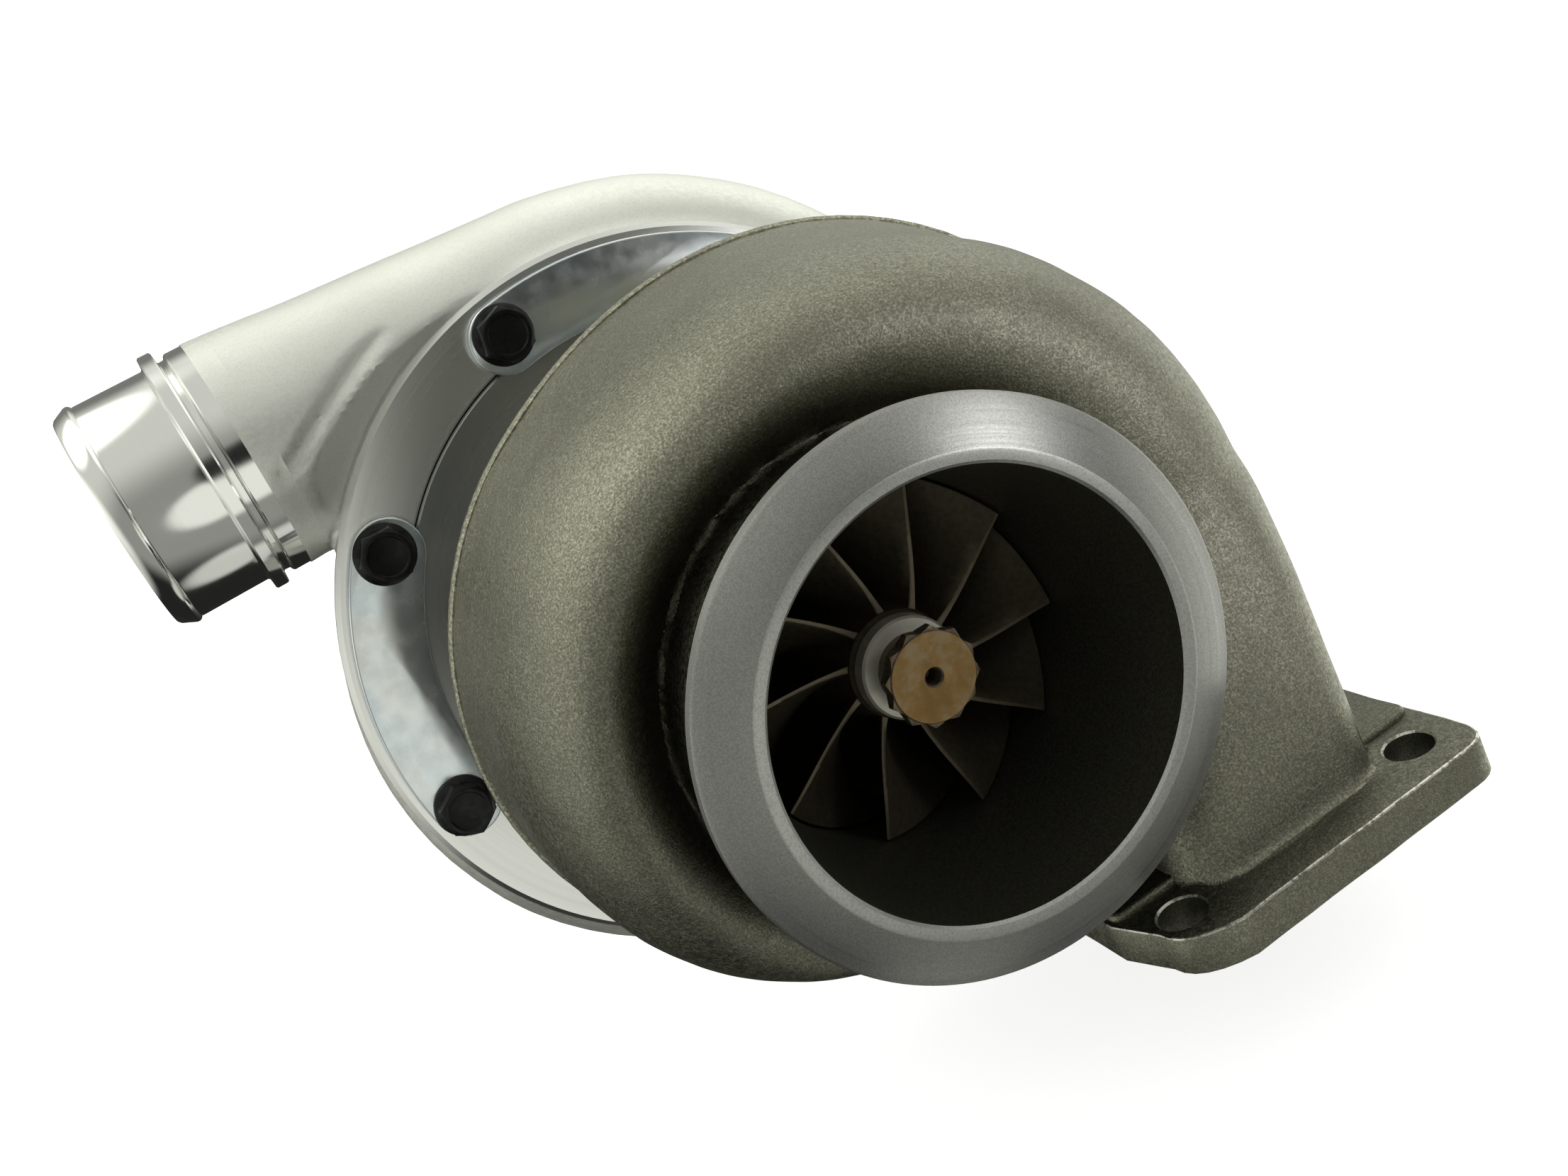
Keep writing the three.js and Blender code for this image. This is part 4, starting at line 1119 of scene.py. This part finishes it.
CAST_END = 86
FRONT_GAP = 0.7
COVER_WALL = 4.5
NARROWING = 4.5                  # of the duct's passage, halfway along
OUTLET_BORE = 27.9
POCKET_FIRST = 112               # angles where the pocket starts and ends
POCKET_LAST = 136.5
POCKET_WIDTH = 9
POCKET_DEPTH = 2.6
DEEPEST_DENT = 6.5               # which leaves some of the wall over the passage


def cover_tube_rings(wall, beyond=0, narrowing=0):
    """Rings round the scroll, then along the outlet duct, set in from the outside by a wall.

    The duct may narrow where it passes the bolted face, and the last rings may go straight on
    beyond the end of the cast duct.
    """
    rings = []
    sides = 40
    turns = [2 * math.pi * side / sides for side in range(sides)]
    for angle in range(SCROLL_START, SCROLL_END, 5):
        tube = cover_tube(angle)
        middle = cover_reach(angle) - tube
        station = COVER_FACE + FRONT_GAP + tube
        radius = tube - wall
        rings.append([polar(middle + radius * math.cos(turn), angle,
                            station + radius * math.sin(turn)) for turn in turns])
    steps = 16
    tube = cover_tube(SCROLL_END)
    for step in range(steps + 1 + beyond):
        amount = min(step / steps, 1)
        inset = wall + narrowing * math.sin(math.pi * amount)
        radius = lerp(tube, HOSE_RADIUS + 1.1, amount) - inset
        station = lerp(COVER_FACE + FRONT_GAP + tube, OUTLET_STATION, ease(amount))
        height = lerp(cover_reach(SCROLL_END) - tube, OUTLET_HEIGHT, amount)
        rings.append([(-CAST_END * step / steps, station + radius * math.sin(turn),
                       height + radius * math.cos(turn)) for turn in turns])
    return rings


def outlet_spigot():
    r = HOSE_RADIUS
    return turned("spigot", [
        (0, 80), (r + 0.7, 80), (r + 0.7, 90.4), (r + 0.3, 90.9), (r - 0.5, 91.3), (r - 0.6, 92.6),
        (r - 0.3, 93), (33.3, 93.2), (33.7, 93.6), (33.7, 96.5), (33.3, 96.9), (r - 0.2, 97.1),
        (r - 0.6, 97.5), (r - 0.6, 115.9), (r - 0.75, 116.2), (r - 0.2, 116.6), (r + 0.2, 117.2),
        (r + 0.15, 118), (r - 1.5, 121.4), (r - 2.2, OUTLET_END), (0, OUTLET_END)],
        FINE, "X", (OUTLET_STATION, OUTLET_HEIGHT))


CLAMP_ANGLES = [CLAMP_FIRST_ANGLE + 90 * n for n in range(4)]
BOLT_BOSS_END = COVER_FACE + 12.9
COVER_BOLTS = [spot(CLAMP_BOLT_RADIUS, angle + side * CLAMP_HALF_SPAN)
               for angle in CLAMP_ANGLES for side in (-1, 1)]


def pocket_depth(x, station, z):
    """How deep the crescent pocket is, where the outlet duct leaves the bolted face.

    Its outer side is steep, and it rises gently toward the bolted face.
    """
    radius, angle = np.hypot(x, z), np.degrees(np.arctan2(z, x))
    ends = np.clip((angle - POCKET_FIRST) / (POCKET_LAST - POCKET_FIRST), 0, 1)
    swell = np.sin(math.pi * ends) ** 0.8
    outer = COVER_FLANGE_RADIUS + 10 + 8.5 * ends**0.5
    across = np.clip((radius - outer) / (4 + POCKET_WIDTH * swell) + 1, 0, 1)
    pocket = POCKET_DEPTH * swell * np.sin(math.pi * across**2.2) ** 2
    return np.where((station < 165) & (x < 0), pocket, 0)


def land_depth(radius, station):
    """How far the casting is set back round the bolted face, so that the face stands proud."""
    limit = COVER_FACE + 1.6 - 0.8 * np.maximum(radius - COVER_FLANGE_RADIUS - 0.3, 0)
    return np.maximum(limit - station, 0)


def compressor_cover():
    hose = INLET_HOSE_RADIUS
    body = turned("compressor_cover_shown", [
        (0, COVER_FACE + 1.5), (COVER_FLANGE_RADIUS - 0.6, COVER_FACE + 1.5),
        (COVER_FLANGE_RADIUS - 0.6, 167), (82, 182), (60, 193), (hose - 0.4, 208),
        (hose - 0.4, 238), (0, 238)])
    gather(body, loft("scroll", cover_tube_rings(0, 1)))
    remesh(body, 1.4, 12)
    x, station, z = local_points(body).T
    depths = pocket_depth(x, station, z)
    depths = np.minimum(depths + land_depth(np.hypot(x, z), station + depths), DEEPEST_DENT)
    move_points(body, np.outer(depths, (0, 1, 0)))
    smooth(body, 3)
    roughen(body, 40, 0.15)
    thin_out(body, 0.6)
    cut(body, bar("X", (OUTLET_STATION, OUTLET_HEIGHT), CAST_END, CAST_END + 20,
                  HOSE_RADIUS + 12))
    flange = turned("flange", [
        (0, COVER_FACE), (COVER_FLANGE_RADIUS - 1.3, COVER_FACE),
        (COVER_FLANGE_RADIUS, COVER_FACE + 1.1), (COVER_FLANGE_RADIUS, COVER_FACE + 2.6),
        (COVER_FLANGE_RADIUS - 0.8, COVER_FACE + 3.4), (0, COVER_FACE + 3.4)])
    inlet = turned("inlet", [
        (0, 212), (hose - 0.2, 212), (hose, 212.4), (hose, 243),
        *[(hose - 0.2 + 1.7 * u, 245.75 - 2.4 * v) for v, u in arc((0, 0), 1, 0, 180, 9)],
        (hose, 248.6), (hose, INLET_END - 0.8), (hose - 0.8, INLET_END), (0, INLET_END)])
    join(body, flange, outlet_spigot(), inlet)
    shroud = [(r + SHROUD_GAP, s + SHROUD_GAP) for r, s in curve(IMPELLER_LINE, 16)]
    bore = turned("bore", [
        (0, 140), (COVER_FLANGE_RADIUS - 0.5, 140), (COVER_FLANGE_RADIUS - 0.5, COVER_FACE),
        (REGISTER_RADIUS + 0.5, COVER_FACE),
        (REGISTER_RADIUS, COVER_FACE + 0.5), (REGISTER_RADIUS, 163.8), (76, 163.8),
        (76, 170.6), *shroud[::-1],
        (IMPELLER_INLET_RADIUS + SHROUD_GAP, 210), (46.5, 222), (46.5, INLET_END - 0.6),
        (47.1, INLET_END), (47.1, INLET_END + 2), (0, INLET_END + 2)])
    outlet_bore = turned("outlet_bore", [
        (0, 80), (OUTLET_BORE, 80), (OUTLET_BORE, OUTLET_END - 0.4),
        (OUTLET_BORE + 0.4, OUTLET_END), (OUTLET_BORE + 0.4, OUTLET_END + 2),
        (0, OUTLET_END + 2)], MEDIUM, "X", (OUTLET_STATION, OUTLET_HEIGHT))
    cut(body, bore, loft("passage", cover_tube_rings(COVER_WALL, narrowing=NARROWING)), outlet_bore)
    join(body, *[bar("Y", at, COVER_FACE + 1, BOLT_BOSS_END, 6.4) for at in COVER_BOLTS])
    cut(body, gather(*bolt_drills(COVER_BOLTS, 150, BOLT_BOSS_END - 1.4)))

    def choose(radius, x, station, z, normal):
        from_duct = np.hypot(station - OUTLET_STATION, z - OUTLET_HEIGHT)
        return np.select([
            (from_duct < 34.5) & (x < -CAST_END + 0.1),
            (station < COVER_FACE + 1.2) & (radius > 70) & (radius < COVER_FLANGE_RADIUS + 0.1)
            & (normal[1] < -0.4),
            ((station > 212) & (radius < 60)) | ((radius < 46.6) & (station > 165)),
        ], [2, 1, 1], 0)

    kinds = ("blasted_aluminium", "faced_aluminium", "polished_aluminium")
    dress(body, "compressor_cover", kinds, choose)


# ---- Clamps and bolts ---------------------------------------------------------------------
def clamp_plate(node, inner, outer, middle, half_span, low, high, hole_radius, hole_angles):
    """An arc-shaped plate with round ends, and holes at the given angles."""
    centre, half = (inner + outer) / 2, (outer - inner) / 2
    first, last = middle - half_span, middle + half_span
    ends = [spot(centre, angle) for angle in (first, last)]
    steps = round(half_span)
    outline = [
        *arc((0, 0), outer, first, last, steps),
        *arc(ends[1], half, last, last + 180, 16)[1:],
        *arc((0, 0), inner, last, first, steps)[1:],
        *arc(ends[0], half, first + 180, first + 360, 16)[1:-1],
    ]
    made = prism(node + "_shown", outline, low, high)
    bevel(made, 0.55, 3)
    spots = [spot(hole_radius, angle) for angle in hole_angles]
    cut(made, gather(*bolt_drills(spots, low - 1, high + 1)))
    dress(made, node, ["zinc_plate"])


def flanged_bolt(name, shank_length, flange_radius, head_height):
    """A flanged hexagon bolt on the rotor axis: the head is below zero and the shank above."""
    across = 7.45
    top = -head_height
    head = prism(name, hexagon(across), top, -0.6)
    crown = turned("crown", [
        (0, top), (6.15, top), (6.5, top + 0.25), (across + 0.1, top + 1.1),
        (across + 0.1, 0), (0, 0)], MEDIUM)
    combine(head, "INTERSECT", crown)
    cut(head, turned("dish", [(0, top + 0.55), (4.9, top + 0.5), (5.3, top - 0.1), (0, top - 0.1)],
                     MEDIUM))
    washer = turned("washer", [
        (0, 0), (flange_radius, 0), (flange_radius, -0.7), (flange_radius - 0.3, -1.05),
        (6.6, -1.9), (0, -1.9)], MEDIUM)
    shank = turned("shank", [
        (0, -1), (SHANK_RADIUS, -1), (SHANK_RADIUS, shank_length - 1),
        (SHANK_RADIUS - 1, shank_length), (0, shank_length)], COARSE)
    join(head, washer, shank)
    return bevel(head, 0.18, 2, 24)


def set_bolts(kind, shank_length, flange_radius, head_height, spots, seat, finish, flip=False):
    """Copies one bolt to each spot, with the bolt's own turn."""
    pattern = flanged_bolt(kind, shank_length, flange_radius, head_height)
    for number, (x, z) in enumerate(spots):
        node = f"{kind}_{number + 1}"
        copy = pattern.copy()
        copy.data = pattern.data.copy()
        copy.name = node + "_shown"
        bpy.context.scene.collection.objects.link(copy)
        to_axis = Matrix.Translation(-RIM_CENTRE)
        twist = Matrix.Rotation(math.radians(17 + 23 * number), 4, "Y")
        face = Matrix.Rotation(math.pi if flip else 0, 4, "X")
        away = Matrix.Translation(place((x, seat, z)))
        copy.data.transform(away @ face @ twist @ to_axis)
        dress(copy, node, [finish], sharp=24)
    bpy.data.objects.remove(pattern)


# ---- Everything ---------------------------------------------------------------------------
turbine_housing()
turbine_wheel()
compressor_wheel()
compressor_nut()
center_housing()
compressor_backplate()
compressor_cover()
clamp_back = COVER_FACE - CLEARANCE
for number, angle in enumerate(CLAMP_ANGLES):
    clamp_plate(f"cover_clamp_{number + 1}", 76.3, 95.3, angle, CLAMP_HALF_SPAN,
                clamp_back - CLAMP_THICKNESS, clamp_back, CLAMP_BOLT_RADIUS,
                (angle - CLAMP_HALF_SPAN, angle + CLAMP_HALF_SPAN))
set_bolts("cover_bolt", 14, 8.1, 6.2, COVER_BOLTS, clamp_back - CLAMP_THICKNESS - CLEARANCE,
          "black_oxide")
housing_clamp_front = TURBINE_BACK + CLEARANCE
for number, angle in enumerate((90, 270)):
    clamp_plate(f"turbine_clamp_{number + 1}", 49.5, 66.5, angle, 66, housing_clamp_front,
                housing_clamp_front + HOUSING_CLAMP_THICKNESS, HOUSING_CLAMP_RADIUS,
                (angle - 60, angle, angle + 60))
set_bolts("turbine_bolt", 13.5, 7.6, 6.2, HOUSING_BOLTS,
          housing_clamp_front + HOUSING_CLAMP_THICKNESS + CLEARANCE, "turned_steel", flip=True)
set_bolts("backplate_bolt", 18, 8.1, 7, BACKPLATE_BOLTS, BACKPLATE_BOLT_SEAT - CLEARANCE, "black_oxide")

for name, kind in (
        ("heat_shield", "pressed_steel"),
        ("journal_bearing", "bearing_bronze"),
        ("bearing_pin", "turned_steel"),
        ("thrust_bearing", "bearing_bronze"),
        ("thrust_collar", "turned_steel"),
        ("turbine_piston_ring", "turned_steel"),
        ("compressor_piston_ring", "turned_steel"),
        ("backplate_seal_ring", "seal_rubber"),
        ("cover_seal_ring", "seal_rubber")):
    node = nodes[name]
    for slot in node.material_slots:
        slot.material = finishes[kind]


# ---- Floor, light and camera --------------------------------------------------------------
def make_floor():
    """A white sheet, so bright that only the object's shadow shows on it."""
    size = 40
    mesh = bpy.data.meshes.new("floor")
    height = cad_box[0].z - 0.0015
    corners = [(x * size, y * size, height) for x, y in ((-1, -1), (1, -1), (1, 1), (-1, 1))]
    mesh.from_pydata(corners, [], [(0, 1, 2, 3)])
    floor = add("floor", mesh)
    paint = bpy.data.materials.new("floor_paint")
    paint.use_nodes = True
    sockets = paint.node_tree.nodes["Principled BSDF"].inputs
    for socket, value in (("Base Color", (0.6, 0.6, 0.6, 1)), ("Roughness", 1),
                          ("Specular IOR Level", 0), ("Emission Color", (1, 1, 1, 1)),
                          ("Emission Strength", 0.8)):
        sockets[socket].default_value = value
    mesh.materials.append(paint)
    floor.visible_diffuse = floor.visible_glossy = floor.visible_shadow = False
    floor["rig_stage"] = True


# How bright the studio is: a level all over, then changes toward a direction, one after
# another. Each starts at the first cosine of the angle from its direction and is complete at
# the second, where the light is multiplied by the first number and then the second is added.
STUDIO_LEVEL = 0.3
STUDIO_CHANGES = [
    ((-0.1, 0.45, 0.89), -0.2, 0.5, 1, 0.38),          # pale above and behind
    ((0.2, 0.95, 0.2), 0.7, 0.92, 0.3, 0),             # less so right behind
    ((-0.4, 0.5, -0.77), 0.35, 0.75, 0.06, 0),         # the dark bench behind and below
    ((0.93, -0.36, 0.02), 0.92, 0.98, 0.4, 0),         # a gap at the right
    ((-0.98, 0.15, -0.1), 0.78, 0.95, 1, 0.65),        # a card at the left
    ((-0.45, 0.28, 0.85), 0.86, 0.96, 1, 1.5),         # a lamp overhead
    ((0.6, 0.5, 0.63), 0.76, 0.95, 1, 0.8),            # a window, up at the right
    ((0.85, 0.2, -0.42), 0.75, 0.95, 1, 1.2),          # and its light on the right wall
    ((-0.1, -0.1, -0.99), 0.955, 0.985, 1, 0.6),       # a white sheet under the outlet
    ((-0.02, -0.95, -0.3), 0.93, 0.965, 1, 0.6),       # a card low in front
    ((0.2, -0.97, 0.14), 0.956, 0.98, 0.05, 0),        # the dark place where the camera stands
]


def make_world():
    """A soft studio; plain white to the camera."""
    world = bpy.data.worlds.new("studio")
    bpy.context.scene.world = world
    world.use_nodes = True
    studio = Nodes(world.node_tree)
    where = studio.node("ShaderNodeTexCoord").outputs["Generated"]

    def lobe(direction, low, high, start, end):
        """Start to end, as a direction comes nearer to the given one."""
        toward = studio.node("ShaderNodeVectorMath", operation="DOT_PRODUCT")
        studio.link(where, toward.inputs[0])
        toward.inputs[1].default_value = Vector(direction).normalized()
        return studio.span(toward.outputs["Value"], low, high, start, end)

    bright = STUDIO_LEVEL
    for direction, low, high, share, more in STUDIO_CHANGES:
        if share != 1:
            bright = studio.math("MULTIPLY", bright, lobe(direction, low, high, 1, share))
        if more:
            bright = studio.math("ADD", bright, lobe(direction, low, high, 0, more))
    sky = studio.tree.nodes["Background"]
    sky.inputs["Color"].default_value = (0.98, 1, 0.92, 1)
    studio.link(bright, sky.inputs["Strength"])
    white = studio.node("ShaderNodeBackground")
    white.inputs["Color"].default_value = (1, 1, 1, 1)
    mix = studio.node("ShaderNodeMixShader")
    rays = studio.node("ShaderNodeLightPath")
    for output, socket in zip((rays.outputs["Is Camera Ray"], sky.outputs[0], white.outputs[0]),
                              mix.inputs):
        studio.link(output, socket)
    studio.link(mix.outputs[0], studio.tree.nodes["World Output"].inputs["Surface"])


# Square lamps that light only what is within a narrow angle of their aim: name, place, aim and
# side in metres, watts, and degrees of spread.
LAMPS = [
    ("rim_lamp", (0.149, -0.224, 0.194), (-0.03, -0.052, 0.124), 0.1, 0.007, 26),
    ("neck_lamp", (0.15, -0.19, 0.09), (0.045, -0.01, 0.085), 0.12, 0.009, 30),
]


def make_lamp(name, at, aim, size, power, spread):
    data = bpy.data.lights.new(name, "AREA")
    data.shape = "SQUARE"
    data.size = size
    data.energy = power
    data.spread = math.radians(spread)
    light = add(name, data)
    light.location = at
    light.rotation_euler = (Vector(aim) - Vector(at)).to_track_quat("-Z", "Y").to_euler()


make_floor()
make_world()
for lamp in LAMPS:
    make_lamp(*lamp)

CAMERA_PLACE = (-98.36, -263.0, 123.09)
CAMERA_TURNS = (70.696, 25.640, -24.389)
CAMERA_LENS = 37.345

camera_data = bpy.data.cameras.new("camera")
camera_data.sensor_width = 36
camera_data.lens = CAMERA_LENS
camera = add("camera", camera_data)
camera.location = place(CAMERA_PLACE)
camera.rotation_euler = [math.radians(turn) for turn in CAMERA_TURNS]
bpy.context.scene.camera = camera
bpy.context.scene.view_settings.view_transform = "Standard"

shown_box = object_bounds()
boxes = {"cad": cad_box, "shown": shown_box}
{name: [list(corner) for corner in box] for name, box in boxes.items()}
